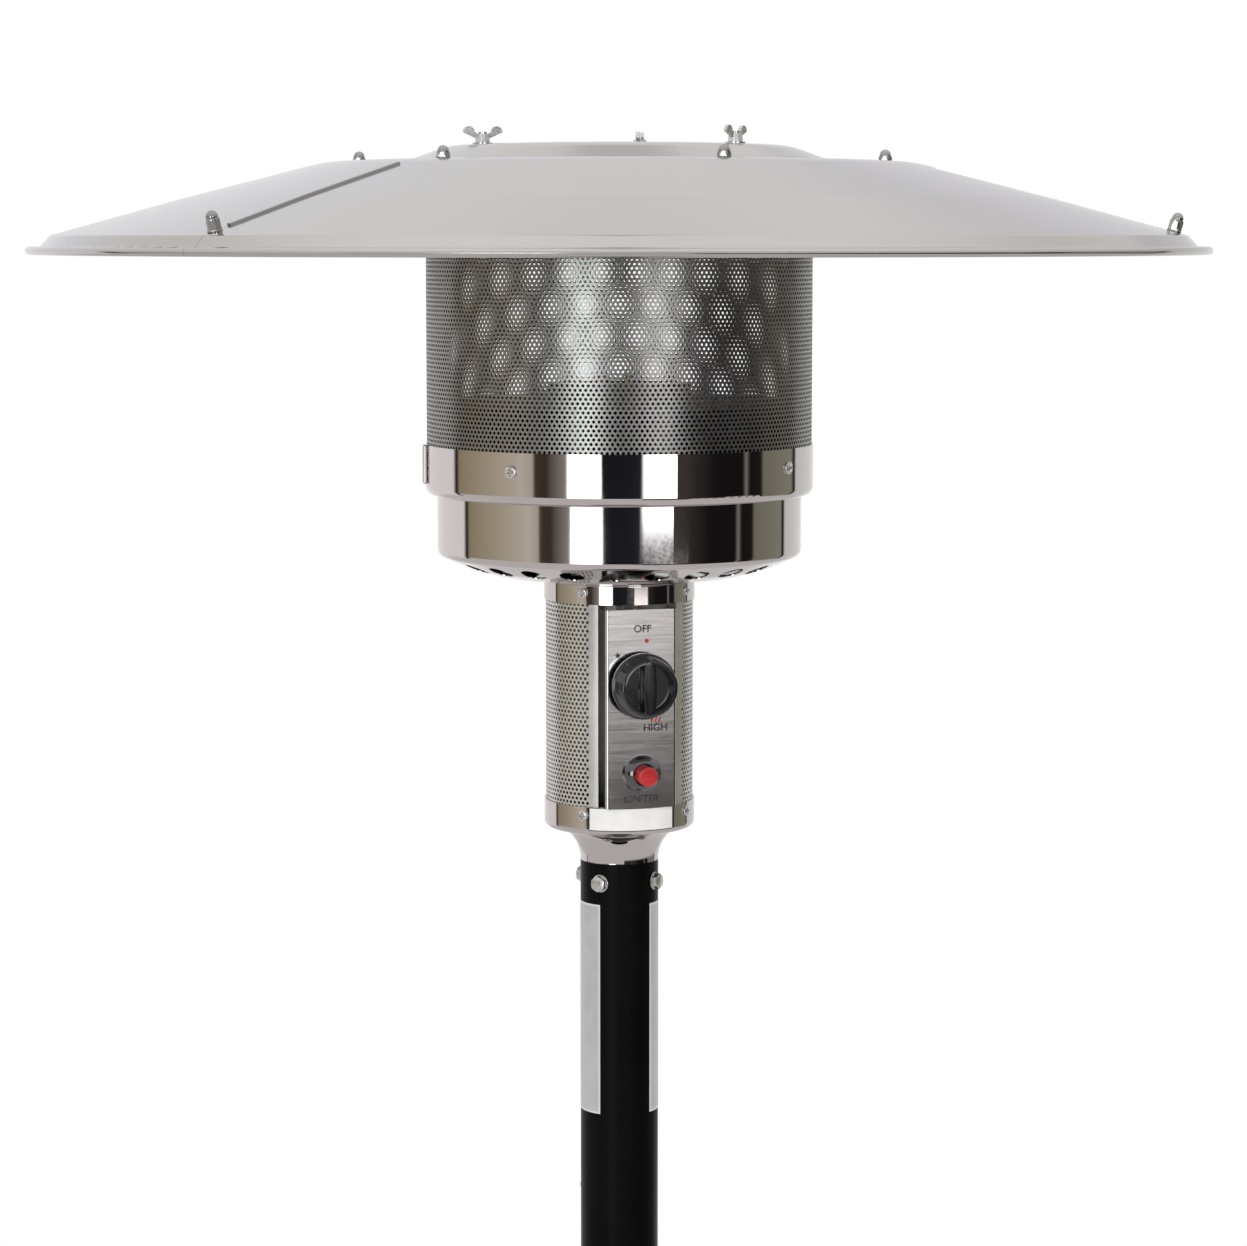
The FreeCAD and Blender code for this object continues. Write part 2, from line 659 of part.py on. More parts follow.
def collar_parts():
    """Flared collar that plugs into the post, and its four bolts."""
    spread = COLLAR_TOP_RADIUS - POST_RADIUS
    rise = COLLAR_HEIGHT - COLLAR_STRAIGHT
    flare = (spread * spread + rise * rise) / (2.0 * spread)
    half = math.acos((flare - spread) / flare) / 2.0
    centre = POST_RADIUS + flare
    straight_top = post_top + COLLAR_STRAIGHT
    waist = FreeCAD.Vector(POST_RADIUS, 0, straight_top)
    belly = FreeCAD.Vector(centre - flare * math.cos(half), 0, straight_top + flare * math.sin(half))
    brim = FreeCAD.Vector(COLLAR_TOP_RADIUS, 0, housing_bottom)
    bore = spigot_radius - SPIGOT_WALL
    corners = [brim]
    for radius, height in (
            (bore, housing_bottom),
            (bore, post_top - COLLAR_SPIGOT),
            (spigot_radius, post_top - COLLAR_SPIGOT),
            (spigot_radius, post_top),
            (POST_RADIUS, post_top),
            (POST_RADIUS, straight_top)):
        corners.append(FreeCAD.Vector(radius, 0, height))
    outline = Part.makePolygon(corners).Edges
    outline.append(Part.Arc(waist, belly, brim).toShape())
    body = lathe(Part.Face(Part.Wire(outline)))
    level = post_top - POST_BOLT_DROP
    hole = radial(POST_BOLT_RADIUS + HOLE_CLEARANCE, 0, POST_RADIUS, level)
    washer = radial(POST_WASHER_RADIUS, POST_RADIUS, POST_RADIUS + POST_WASHER, level)
    head = laid_forward(hexagon(POST_BOLT_FLATS, POST_BOLT_HEAD), POST_RADIUS + POST_WASHER, level)
    shank = radial(POST_BOLT_RADIUS, bore - POST_BOLT_TAIL, POST_RADIUS + POST_WASHER, level)
    deep = housing_bottom - CAP_BOLT_REACH - CAP_BOLT_ROOM
    cap_holes = around(cap_bolt_hole(deep, housing_bottom), spaced(CAP_BOLT_COUNT))
    return {
        "post_collar": body.cut(around(hole, CORNER_ANGLES)).cut(cap_holes),
        "post_bolts": around(head.fuse(washer).fuse(shank), CORNER_ANGLES),
    }


def cap_bolt_hole(bottom, top):
    """Hole for one of the bolts that hold a cap to what is next to it."""
    return post_at(CAP_BOLT_RADIUS + HOLE_CLEARANCE, CAP_BOLT_CIRCLE, bottom, top)


def cap_bolt(seat, length):
    """Round-headed bolt pointing down, with its head on a level."""
    bolt = pan_screw(CAP_BOLT_RADIUS, CAP_BOLT_HEAD_RADIUS, CAP_BOLT_HEAD, length)
    return moved(bolt, 0, -CAP_BOLT_CIRCLE, seat)


def service_holes(bottom, top):
    """Ways for the pilot pipe and the thermocouple through a sheet."""
    pilot = post_at(PILOT_TUBE_RADIUS + HOLE_CLEARANCE, PILOT_CIRCLE, bottom, top)
    sensor = post_at(THERMOCOUPLE_RADIUS + HOLE_CLEARANCE, PILOT_CIRCLE, bottom, top)
    return Part.Compound([turned(pilot, PILOT_ANGLE), turned(sensor, THERMOCOUPLE_ANGLE)])


def housing_parts():
    """Bottom cap, wrap, panel, top cap and the screws of the control housing."""
    bore = spigot_radius - SPIGOT_WALL
    bottom_cap = lathe(sheet([
        (bore, housing_bottom, 0),
        (CAP_RADIUS, housing_bottom, CAP_CORNER),
        (CAP_RADIUS, wrap_bottom, 0)], CAP_SHEET))
    top_cap = lathe(sheet([
        (VENTURI_RADIUS + HOLE_CLEARANCE, bowl_bottom, 0),
        (CAP_RADIUS, bowl_bottom, TOP_CAP_CORNER),
        (CAP_RADIUS, wrap_top, 0)], -CAP_SHEET))
    inner = WRAP_RADIUS - WRAP_SHEET
    outline = tube(WRAP_RADIUS, inner, wrap_bottom - WRAP_TUCK, wrap_top + WRAP_TUCK)
    opening = Part.makeCylinder(
        CAP_RADIUS, WRAP_EXPOSED + 2.0 * WRAP_TUCK,
        FreeCAD.Vector(0, 0, wrap_bottom - WRAP_TUCK), Z_AXIS, 2.0 * WRAP_HALF_OPENING)
    wrap = outline.cut(turned(opening, -RIGHT_ANGLE - WRAP_HALF_OPENING))
    levels = (wrap_bottom - CAP_SCREW_INSET, wrap_top + TOP_SCREW_INSET)
    screw = pan_screw(CAP_SCREW_RADIUS, CAP_SCREW_HEAD_RADIUS, CAP_SCREW_HEAD, CAP_SCREW_TAIL)
    screws = []
    for level in levels:
        drill = CAP_SCREW_RADIUS + HOLE_CLEARANCE
        hole = radial(drill, inner - CUT_MARGIN, CAP_RADIUS + CUT_MARGIN, level)
        holes = around(hole, CORNER_ANGLES)
        wrap = wrap.cut(holes)
        bottom_cap = bottom_cap.cut(holes)
        top_cap = top_cap.cut(holes)
        screws.append(around(laid_forward(screw, CAP_RADIUS, level), CORNER_ANGLES))
    floor = housing_bottom + CAP_SHEET
    cap_angles = spaced(CAP_BOLT_COUNT)
    low_bolt = cap_bolt(floor, CAP_SHEET + CAP_BOLT_REACH)
    high_bolt = cap_bolt(bowl_bottom + SHEET, SHEET + CAP_SHEET + CAP_BOLT_TAIL)
    bottom_cap = bottom_cap.cut(around(cap_bolt_hole(housing_bottom, floor), cap_angles))
    top_cap = top_cap.cut(around(cap_bolt_hole(wrap_top, bowl_bottom), cap_angles))
    return {
        "housing_bottom_cap": bottom_cap,
        "housing_top_cap": top_cap.cut(service_holes(wrap_top, bowl_bottom)),
        "housing_wrap": wrap,
        "housing_screws": Part.Compound(screws),
        "cap_bolts": Part.Compound([around(low_bolt, cap_angles), around(high_bolt, cap_angles)]),
        "control_panel": control_panel(),
    }


def control_panel():
    """Front plate with both sides bent back, pierced for the valve and the igniter."""
    half = PANEL_WIDTH / 2.0
    back = PANEL_FRONT - PANEL_FLANGE
    bend = path([
        (-half, -back, wrap_bottom, 0),
        (-half, -PANEL_FRONT, wrap_bottom, PANEL_BEND),
        (half, -PANEL_FRONT, wrap_bottom, PANEL_BEND),
        (half, -back, wrap_bottom, 0)])
    plate = bend.makeOffset2D(-PANEL_SHEET, fill=True, openResult=True)
    plate = plate.extrude(FreeCAD.Vector(0, 0, panel_top - wrap_bottom))
    valve_hole = radial(NECK_RADIUS + HOLE_CLEARANCE, back, knob_front, knob_height)
    igniter_hole = radial(IGNITER_NECK_RADIUS + HOLE_CLEARANCE, back, knob_front, igniter_height)
    return plate.cut(valve_hole).cut(igniter_hole)


def valve_parts():
    """Valve casting, its nut, the spring-loaded plunger, the spindle and the knob."""
    casting = box(VALVE_WIDTH, VALVE_DEPTH, VALVE_HEIGHT, valve_front, knob_height - VALVE_HEIGHT / 2.0)
    casting = casting.makeFillet(VALVE_EDGE, casting.Edges)
    neck = radial(NECK_RADIUS, panel_back - VALVE_EDGE, PANEL_FRONT + NECK_PROUD, knob_height)
    chamber = radial(PLUNGER_RADIUS + RUNNING_FIT, plunger_stop, plunger_front, knob_height)
    stem_way = radial(STEM_RADIUS + RUNNING_FIT, plunger_front, knob_front, knob_height)
    port = disc(INLET_BORE, knob_height - VALVE_HEIGHT, knob_height + VALVE_HEIGHT)
    body = casting.fuse(neck).cut(chamber).cut(stem_way).cut(port)
    nut = laid_forward(hexagon(NUT_FLATS, NUT_THICKNESS), PANEL_FRONT, knob_height)
    nut = nut.cut(radial(NECK_RADIUS + RUNNING_FIT, valve_rear, knob_front, knob_height))
    plunger = radial(PLUNGER_RADIUS, plunger_rear, plunger_front, knob_height)
    socket = radial(STEM_RADIUS + RUNNING_FIT, stem_rear, plunger_front, knob_height)
    stem = radial(STEM_RADIUS, stem_rear, stem_front, knob_height)
    return {
        "valve_body": body,
        "valve_nut": nut,
        "valve_plunger": plunger.cut(socket),
        "valve_stem": stem,
        "control_knob": control_knob(),
    }


def control_knob():
    """Round knob with a skirt, a grip bar between two scoops and a pressed-on bore."""
    skirt = radial(KNOB_RADIUS, knob_back, knob_back + KNOB_SKIRT, knob_height)
    crown = KNOB_DEPTH - KNOB_SKIRT
    drum = Part.makeCone(KNOB_BODY_RADIUS, KNOB_FACE_RADIUS, crown)
    drum = laid_forward(drum, knob_back + KNOB_SKIRT, knob_height)
    centre = knob_front - KNOB_SCOOP_DEPTH + KNOB_SCOOP_RADIUS
    lift = centre - knob_front
    reach = math.sqrt(KNOB_SCOOP_RADIUS * KNOB_SCOOP_RADIUS - lift * lift)
    offset = KNOB_GRIP_WIDTH / 2.0 + reach
    knob = skirt.fuse(drum)
    for side in (-1.0, 1.0):
        scoop = Part.makeSphere(KNOB_SCOOP_RADIUS, FreeCAD.Vector(side * offset, -centre, knob_height))
        knob = knob.cut(scoop)
    recess = radial(KNOB_RECESS_RADIUS, knob_back, knob_back + KNOB_RECESS, knob_height)
    bore = radial(STEM_RADIUS + RUNNING_FIT, knob_back, stem_front, knob_height)
    return knob.cut(recess).cut(bore)


def bezel_dome():
    """Solid dome with a flat face, standing on the origin."""
    face = BUTTON_RADIUS + BEZEL_FACE_GAP
    bulge = face + (BEZEL_RADIUS - face) * BEZEL_BULGE_OUT
    belly = BEZEL_RIM + (BEZEL_HEIGHT - BEZEL_RIM) * BEZEL_BULGE_UP
    crown = FreeCAD.Vector(face, 0, BEZEL_HEIGHT)
    rim = FreeCAD.Vector(BEZEL_RADIUS, 0, BEZEL_RIM)
    middle = FreeCAD.Vector(0, 0, BEZEL_HEIGHT)
    outline = Part.makePolygon([crown, middle, ORIGIN, FreeCAD.Vector(BEZEL_RADIUS, 0, 0), rim]).Edges
    outline.append(Part.Arc(rim, FreeCAD.Vector(bulge, 0, belly), crown).toShape())
    return lathe(Part.Face(Part.Wire(outline)))


def igniter_parts():
    """Igniter barrel behind the panel, its domed bezel and the push button."""
    barrel = radial(IGNITER_BODY_RADIUS, panel_back - IGNITER_BODY_LENGTH, panel_back, igniter_height)
    neck = radial(IGNITER_NECK_RADIUS, panel_back, PANEL_FRONT, igniter_height)
    way = radial(BUTTON_RADIUS + SLIP_FIT, panel_back, button_front, igniter_height)
    room_radius = BUTTON_RADIUS + BUTTON_COLLAR + SLIP_FIT
    room = radial(room_radius, button_room, panel_back - SHEET, igniter_height)
    front_way = radial(BUTTON_RADIUS + SLIP_FIT, panel_back - SHEET, panel_back, igniter_height)
    bezel = laid_forward(bezel_dome(), PANEL_FRONT, igniter_height)
    button = Part.makeCylinder(BUTTON_RADIUS, button_front - button_rear)
    button = laid_forward(button.makeFillet(BUTTON_EDGE, [button.Edges[0]]), button_rear, igniter_height)
    collar_radius = BUTTON_RADIUS + BUTTON_COLLAR
    ring = radial(collar_radius, button_rear, button_rear + BUTTON_COLLAR_LENGTH, igniter_height)
    return {
        "igniter_body": barrel.fuse(neck).cut(way).cut(front_way).cut(room),
        "igniter_bezel": bezel.cut(way),
        "igniter_button": button.fuse(ring),
    }


def gas_train():
    """Inlet, jet, mixing tube, pilot pipe, thermocouple, electrode and tilt switch."""
    valve_top = knob_height + VALVE_HEIGHT / 2.0
    valve_bottom = knob_height - VALVE_HEIGHT / 2.0
    inlet = moved(hexagon(INLET_FLATS, INLET_HEX), 0, 0, valve_bottom - INLET_HEX)
    inlet = inlet.fuse(disc(INLET_RADIUS, valve_bottom - INLET_LENGTH, valve_bottom - INLET_HEX))
    jet = moved(hexagon(JET_FLATS, JET_HEX), 0, 0, valve_top)
    jet = jet.fuse(disc(JET_RADIUS, valve_top + JET_HEX, valve_top + JET_LENGTH))
    mouth = valve_top + JET_HEX + VENTURI_JET_GAP
    venturi = lathe(sheet([
        (VENTURI_BELL_RADIUS, mouth, 0),
        (VENTURI_RADIUS, mouth + VENTURI_BELL, VENTURI_BELL),
        (VENTURI_RADIUS, burner_deck, 0)], VENTURI_WALL))
    pilot_x, pilot_y = on_circle(PILOT_CIRCLE, PILOT_ANGLE)
    sensor_x, sensor_y = on_circle(PILOT_CIRCLE, THERMOCOUPLE_ANGLE)
    rear = -valve_rear
    half = VALVE_HEIGHT / 4.0
    pilot = bent_tube([
        (pilot_x, rear, knob_height + half, 0),
        (pilot_x, pilot_y, knob_height + half, TUBE_BEND),
        (pilot_x, pilot_y, burner_deck + PILOT_RISE, 0)], PILOT_TUBE_RADIUS)
    sensor = bent_tube([
        (VALVE_WIDTH / 4.0, rear + THERMOCOUPLE_GAP, knob_height - half, 0),
        (sensor_x, sensor_y, knob_height - half, TUBE_BEND),
        (sensor_x, sensor_y, burner_deck + THERMOCOUPLE_RISE, 0)], THERMOCOUPLE_RADIUS)
    hood_bottom = burner_deck + PILOT_RISE
    hood = post_at(PILOT_HOOD_RADIUS, PILOT_CIRCLE, hood_bottom, hood_bottom + PILOT_HOOD_HEIGHT)
    rod = post_at(ELECTRODE_RADIUS, PILOT_CIRCLE, bowl_rim - ELECTRODE_DROP, burner_deck + ELECTRODE_RISE)
    pin_bottom = burner_deck + ELECTRODE_RISE
    pin = post_at(ELECTRODE_PIN_RADIUS, PILOT_CIRCLE, pin_bottom, pin_bottom + ELECTRODE_PIN)
    floor = housing_bottom + CAP_SHEET
    switch = box(TILT_WIDTH, TILT_DEPTH, TILT_HEIGHT, -TILT_OFFSET, floor)
    bore = disc(INLET_BORE, valve_bottom - INLET_LENGTH, valve_bottom)
    nozzle = disc(JET_BORE, valve_top, valve_top + JET_LENGTH)
    return {
        "gas_inlet": inlet.cut(bore),
        "gas_jet": jet.cut(nozzle),
        "venturi_tube": venturi,
        "pilot_burner": pilot.fuse(turned(hood, PILOT_ANGLE)),
        "thermocouple": sensor,
        "spark_electrode": turned(rod.fuse(pin), ELECTRODE_ANGLE),
        "tilt_switch": switch,
    }


def burner_parts():
    """Bowl, band, emitter screen, lid and the burner inside them."""
    bowl = lathe(sheet([
        (VENTURI_RADIUS + HOLE_CLEARANCE, bowl_bottom, 0),
        (BOWL_RADIUS - BOWL_DISH_WIDTH, bowl_bottom, BOWL_SWEEP),
        (BOWL_RADIUS - BOWL_DISH_MIDDLE, bowl_bottom + BOWL_DISH_MIDDLE_RISE, BOWL_SWEEP),
        (BOWL_RADIUS - BOWL_DISH_OUTER, bowl_bottom + BOWL_DISH_OUTER_RISE, BOWL_SWEEP),
        (BOWL_RADIUS, bowl_bottom + BOWL_RISE, BOWL_CORNER),
        (BOWL_RADIUS, bowl_rim, 0)], SHEET))
    vent = post_at(VENT_RADIUS, VENT_CIRCLE, bowl_bottom, bowl_bottom + BOWL_CORNER + BOWL_RISE)
    bowl = bowl.cut(around(vent, [angle + VENT_TURN for angle in spaced(VENT_COUNT)]))
    bowl = bowl.cut(around(cap_bolt_hole(bowl_bottom, band_bottom), spaced(CAP_BOLT_COUNT)))
    bowl = bowl.cut(service_holes(bowl_bottom, band_bottom))
    band = lathe(sheet([
        (BAND_RADIUS, band_top, 0),
        (BAND_RADIUS, band_bottom, BAND_CORNER),
        (BOWL_RADIUS + SLIP_FIT, band_bottom, 0)], -SHEET))
    screen = tube(emitter_radius, emitter_radius - EMITTER_SHEET, emitter_bottom, screen_top)
    level = band_bottom + BAND_SCREW_RISE
    drill = BAND_SCREW_RADIUS + HOLE_CLEARANCE
    hole = radial(drill, BOWL_RADIUS + CUT_MARGIN, BAND_RADIUS + CUT_MARGIN, level)
    angles = [angle + BAND_SCREW_TURN for angle in CORNER_ANGLES]
    holes = around(hole, angles)
    length = BAND_SCREW_TAIL + SHEET + EMITTER_SHEET
    screw = pan_screw(BAND_SCREW_RADIUS, BAND_SCREW_HEAD_RADIUS, BAND_SCREW_HEAD, length)
    clasp = box(CLASP_WIDTH, CLASP_THICKNESS, CLASP_HEIGHT, 0, 0)
    clasp = clasp.makeFillet(CLASP_EDGE, clasp.Edges)
    clasp = moved(clasp, 0, -BAND_RADIUS - CLASP_THICKNESS, band_top - CLASP_HEIGHT)
    lid = lathe(sheet([
        (0.0, lid_top, 0),
        (BAND_RADIUS, lid_top, LID_BEND),
        (BAND_RADIUS, lid_top - LID_SKIRT, 0)], -SHEET))
    stud_hole = post_at(STUD_RADIUS + HOLE_CLEARANCE, STUD_CIRCLE, emitter_top, lid_top)
    return {
        "burner_bowl": bowl,
        "burner_band": band.cut(holes),
        "emitter_screen": screen.cut(holes),
        "emitter_lid": lid.cut(around(stud_hole, STUD_ANGLES)),
        "band_screws": around(laid_forward(screw, BAND_RADIUS, level), angles),
        "band_clasp": turned(clasp, CLASP_ANGLE),
        "burner_plate": burner_plate(),
        "burner_head": burner_head(),
        "flame_tube": tube(
            FLAME_TUBE_RADIUS, FLAME_TUBE_RADIUS - SHEET, burner_deck, burner_deck + FLAME_TUBE_HEIGHT),
    }


def burner_plate():
    """Deck that closes the bowl and carries the burner."""
    plate = tube(BOWL_RADIUS, VENTURI_RADIUS + HOLE_CLEARANCE, bowl_rim, burner_deck)
    electrode = post_at(ELECTRODE_RADIUS + HOLE_CLEARANCE, PILOT_CIRCLE, bowl_rim, burner_deck)
    return plate.cut(service_holes(bowl_rim, burner_deck)).cut(turned(electrode, ELECTRODE_ANGLE))


def burner_head():
    """Hollow drum with a ring of flame ports, open to the mixing tube."""
    top = burner_deck + BURNER_HEIGHT
    drum = disc(BURNER_RADIUS, burner_deck, top)
    room = disc(BURNER_RADIUS - BURNER_WALL, burner_deck + BURNER_WALL, top - BURNER_WALL)
    throat = disc(VENTURI_RADIUS - VENTURI_WALL, burner_deck, burner_deck + BURNER_WALL)
    ports = around(post_at(PORT_RADIUS, PORT_CIRCLE, top - BURNER_WALL, top), spaced(PORT_COUNT))
    return drum.cut(room).cut(throat).cut(ports)


def hood_surface():
    """Corner points of a reflector panel's outer face, from its inner edge to its lip."""
    return [
        (panel_inner_radius, ring_top, 0),
        (hood_shoulder_radius, ring_top, HOOD_SHOULDER),
        (hood_knee_radius, dome_top - HOOD_KNEE_DROP, HOOD_KNEE),
        (hood_step_radius, dome_top - HOOD_STEP_DROP, HOOD_STEP),
        (hood_lip_radius, dome_top - HOOD_LIP_DROP, HOOD_LIP),
        (HOOD_RADIUS - HOOD_BEAD_RADIUS, dome_top - HOOD_LIP_DROP, 0)]


def hood_slope():
    """Fall of the outer skirt, in height per unit of radius."""
    fall = HOOD_STEP_DROP - HOOD_KNEE_DROP
    return fall / (hood_step_radius - hood_knee_radius)


def hood_height(radius):
    """Height of the outer skirt's upper face at a radius."""
    return dome_top - HOOD_KNEE_DROP - (radius - hood_knee_radius) * hood_slope()


def hood_panel():
    """One reflector panel: sheet, rolled rim and an upturned fold along each seam."""
    half = RIGHT_ANGLE * 2.0 / len(HOOD_PANEL_ANGLES)
    first = HOOD_SEAM_GAP / 2.0 - half
    sweep = 2.0 * half - HOOD_SEAM_GAP
    skin = sheet(hood_surface(), -HOOD_SHEET)
    bead_height = dome_top - HOOD_LIP_DROP - HOOD_BEAD_RADIUS
    bead = Part.Face(Part.Wire(Part.makeCircle(
        HOOD_BEAD_RADIUS,
        FreeCAD.Vector(HOOD_RADIUS - HOOD_BEAD_RADIUS, 0, bead_height),
        FreeCAD.Vector(0, 1, 0))))
    main = lathe(skin, first - RIGHT_ANGLE, sweep)
    rim = lathe(bead, first - RIGHT_ANGLE, sweep)
    return main.fuse(rim).fuse(hood_fold(-half, 1.0)).fuse(hood_fold(half, -1.0))


def hood_fold(seam, side):
    """Upturned edge of a panel beside a seam, between the inner and the outer nut."""
    sunk = HOOD_SHEET / 2.0
    width = FOLD_WIDTH / 2.0
    surface = [
        (fold_inner_radius, dome_top - HOOD_KNEE_DROP + shoulder_rise(fold_inner_radius), 0),
        (hood_knee_radius, dome_top - HOOD_KNEE_DROP, HOOD_KNEE),
        (fold_outer_radius, hood_height(fold_outer_radius), 0)]
    strip = sheet(surface, FOLD_HEIGHT + sunk).extrude(FreeCAD.Vector(0, width, 0))
    middle = side * (width / 2.0 + FOLD_GAP)
    return turned(moved(strip, 0, middle - width / 2.0, -sunk), seam - RIGHT_ANGLE)


def shoulder_rise(radius):
    """Height of the upper skirt above the knee at a radius."""
    fall = (HOOD_KNEE_DROP - DOME_HEIGHT) / (hood_knee_radius - hood_shoulder_radius)
    return (hood_knee_radius - radius) * fall


def nut_places():
    """Every dome nut as (circle, angle, seat height, tilt, grip below the seat, hexagon height)."""
    places = []
    half = RIGHT_ANGLE * 2.0 / len(HOOD_PANEL_ANGLES)
    tilt = math.degrees(math.atan(hood_slope()))
    skirt = hood_height(nut_outer_circle)
    for panel in HOOD_PANEL_ANGLES:
        for angle in (panel + NUT_INNER_TURN, panel + NUT_INNER_TURN - half):
            places.append((nut_inner_circle, angle, ring_top, 0.0, 2.0 * HOOD_SHEET, DOME_NUT_LOW_HEX))
        places.append((nut_outer_circle, panel - half, skirt, tilt, HOOD_SHEET + SLIP_FIT, DOME_NUT_HEX))
    return places


def tilted(shape, place):
    """Fastener standing on the origin, set on the reflector at one place."""
    circle, angle, height, tilt = place[:4]
    copy = shape.copy()
    copy.rotate(ORIGIN, FreeCAD.Vector(1, 0, 0), tilt)
    copy.translate(FreeCAD.Vector(0, -circle, height))
    return turned(copy, angle)


def hood_bolt(grip):
    """Bolt up through the reflector, with its head below the sheet."""
    head = disc(HOOD_BOLT_HEAD_RADIUS, -grip - HOOD_BOLT_HEAD, -grip)
    return head.fuse(disc(HOOD_BOLT_RADIUS, -grip, HOOD_BOLT_REACH))


def dome_nut(hexagon_height):
    """Washer, hexagon and rounded cap, bored to take the bolt's end."""
    base = disc(DOME_NUT_WASHER_RADIUS, 0, DOME_NUT_WASHER)
    block = moved(hexagon(DOME_NUT_FLATS, hexagon_height), 0, 0, DOME_NUT_WASHER)
    shoulder = DOME_NUT_WASHER + hexagon_height
    neck = disc(DOME_NUT_CAP_RADIUS, shoulder, shoulder + DOME_NUT_NECK)
    cap = Part.makeSphere(DOME_NUT_CAP_RADIUS, FreeCAD.Vector(0, 0, shoulder + DOME_NUT_NECK))
    bore = disc(HOOD_BOLT_RADIUS + RUNNING_FIT, 0, HOOD_BOLT_REACH + RUNNING_FIT)
    return base.fuse(block).fuse(neck).fuse(cap).cut(bore)


def hood_parts():
    """Centre disc, three panels, their bolts and nuts."""
    disc_points = [
        (0.0, dome_top, 0),
        (dome_flat_radius, dome_top, DOME_CROWN),
        (DOME_BASE_RADIUS, ring_top - HOOD_SHEET, DOME_FOOT),
        (flange_ring_radius, ring_top - HOOD_SHEET, 0)]
    centre = lathe(sheet(disc_points, -HOOD_SHEET))
    stud_hole = post_at(STUD_RADIUS + HOLE_CLEARANCE, STUD_CIRCLE, lid_top, dome_top)
    centre = centre.cut(around(stud_hole, STUD_ANGLES))
    places = nut_places()
    drill = disc(HOOD_BOLT_RADIUS + HOLE_CLEARANCE, -HOOD_BOLT_HEAD * 2.0, HOOD_BOLT_REACH)
    drills = Part.Compound([tilted(drill, place) for place in places])
    panel = hood_panel()
    parts = {"reflector_disc": centre.cut(drills)}
    for index, angle in enumerate(HOOD_PANEL_ANGLES, 1):
        parts["reflector_panel_%d" % index] = turned(panel, angle).cut(drills)
    parts["reflector_bolts"] = Part.Compound([tilted(hood_bolt(place[4]), place) for place in places])
    parts["dome_nuts"] = Part.Compound([tilted(dome_nut(place[5]), place) for place in places])
    return parts


def wing_nut():
    """Wing nut standing on the origin with its wings along X."""
    hub = Part.makeCone(WING_HUB_RADIUS, WING_HUB_TOP_RADIUS, WING_HUB_HEIGHT)
    tip = WING_SPAN / 2.0 - WING_TIP_RADIUS
    lobe = WING_HEIGHT - WING_TIP_RADIUS
    wings = hub
    for side in (-1.0, 1.0):
        root = FreeCAD.Vector(side * STUD_RADIUS, 0, WING_ROOT)
        low = FreeCAD.Vector(side * (tip + WING_TIP_RADIUS), 0, lobe)
        top = FreeCAD.Vector(side * tip, 0, WING_HEIGHT)
        inner = FreeCAD.Vector(side * (tip - WING_TIP_RADIUS), 0, lobe)
        neck = FreeCAD.Vector(side * STUD_RADIUS, 0, WING_HUB_HEIGHT)
        edges = [
            Part.LineSegment(root, low).toShape(),
            Part.Arc(low, top, inner).toShape(),
            Part.LineSegment(inner, neck).toShape(),
            Part.LineSegment(neck, root).toShape()]
        wing = Part.Face(Part.Wire(edges)).extrude(FreeCAD.Vector(0, WING_THICKNESS, 0))
        wings = wings.fuse(moved(wing, 0, -WING_THICKNESS / 2.0, 0))
    return wings.cut(disc(STUD_RADIUS + RUNNING_FIT, 0, WING_HEIGHT))


def stud_parts():
    """Studs from the emitter's lid, their spacers, washers and wing nuts."""
    seat = dome_top + WASHER
    stud_top = seat + WING_SEAT_GAP + WING_HUB_HEIGHT + STUD_PROUD
    head = moved(hexagon(STUD_HEAD_FLATS, STUD_HEAD), 0, -STUD_CIRCLE, emitter_top - STUD_HEAD)
    stud = head.fuse(post_at(STUD_RADIUS, STUD_CIRCLE, emitter_top, stud_top))
    clear = STUD_RADIUS + HOLE_CLEARANCE
    spacer = tube(SPACER_RADIUS, clear, lid_top, dome_top - HOOD_SHEET)
    washer = tube(WASHER_RADIUS, clear, dome_top, seat)
    parts = {
        "reflector_studs": around(stud, STUD_ANGLES),
        "stud_spacers": around(moved(spacer, 0, -STUD_CIRCLE, 0), STUD_ANGLES),
        "stud_washers": around(moved(washer, 0, -STUD_CIRCLE, 0), STUD_ANGLES),
    }
    for index, angle in enumerate(STUD_ANGLES, 1):
        nut = turned(wing_nut(), WING_TURNS[index - 1])
        nut = moved(nut, 0, -STUD_CIRCLE, seat + WING_SEAT_GAP)
        parts["wing_nut_%d" % index] = turned(nut, angle)
    return parts


def all_parts():
    """Every node of the heater by name."""
    parts = {}
    for group in (
            base_parts(), post_parts(), tank_parts(), collar_parts(), housing_parts(),
            valve_parts(), igniter_parts(), gas_train(), burner_parts(), hood_parts(), stud_parts()):
        parts.update(group)
    for index, angle in enumerate(BRACKET_ANGLES, 1):
        parts["support_bracket_%d" % index] = turned(bracket(), angle)
    return parts


os.makedirs("parts", exist_ok=True)
for name, shape in all_parts().items():
    shape.exportStep("parts/%s.step" % name)
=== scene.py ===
"""Looks of the gas patio heater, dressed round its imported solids."""
import json
import logging
import math
from dataclasses import dataclass
from enum import Enum
from typing import Callable, Sequence

import bmesh
import bpy
from mathutils import Matrix, Vector


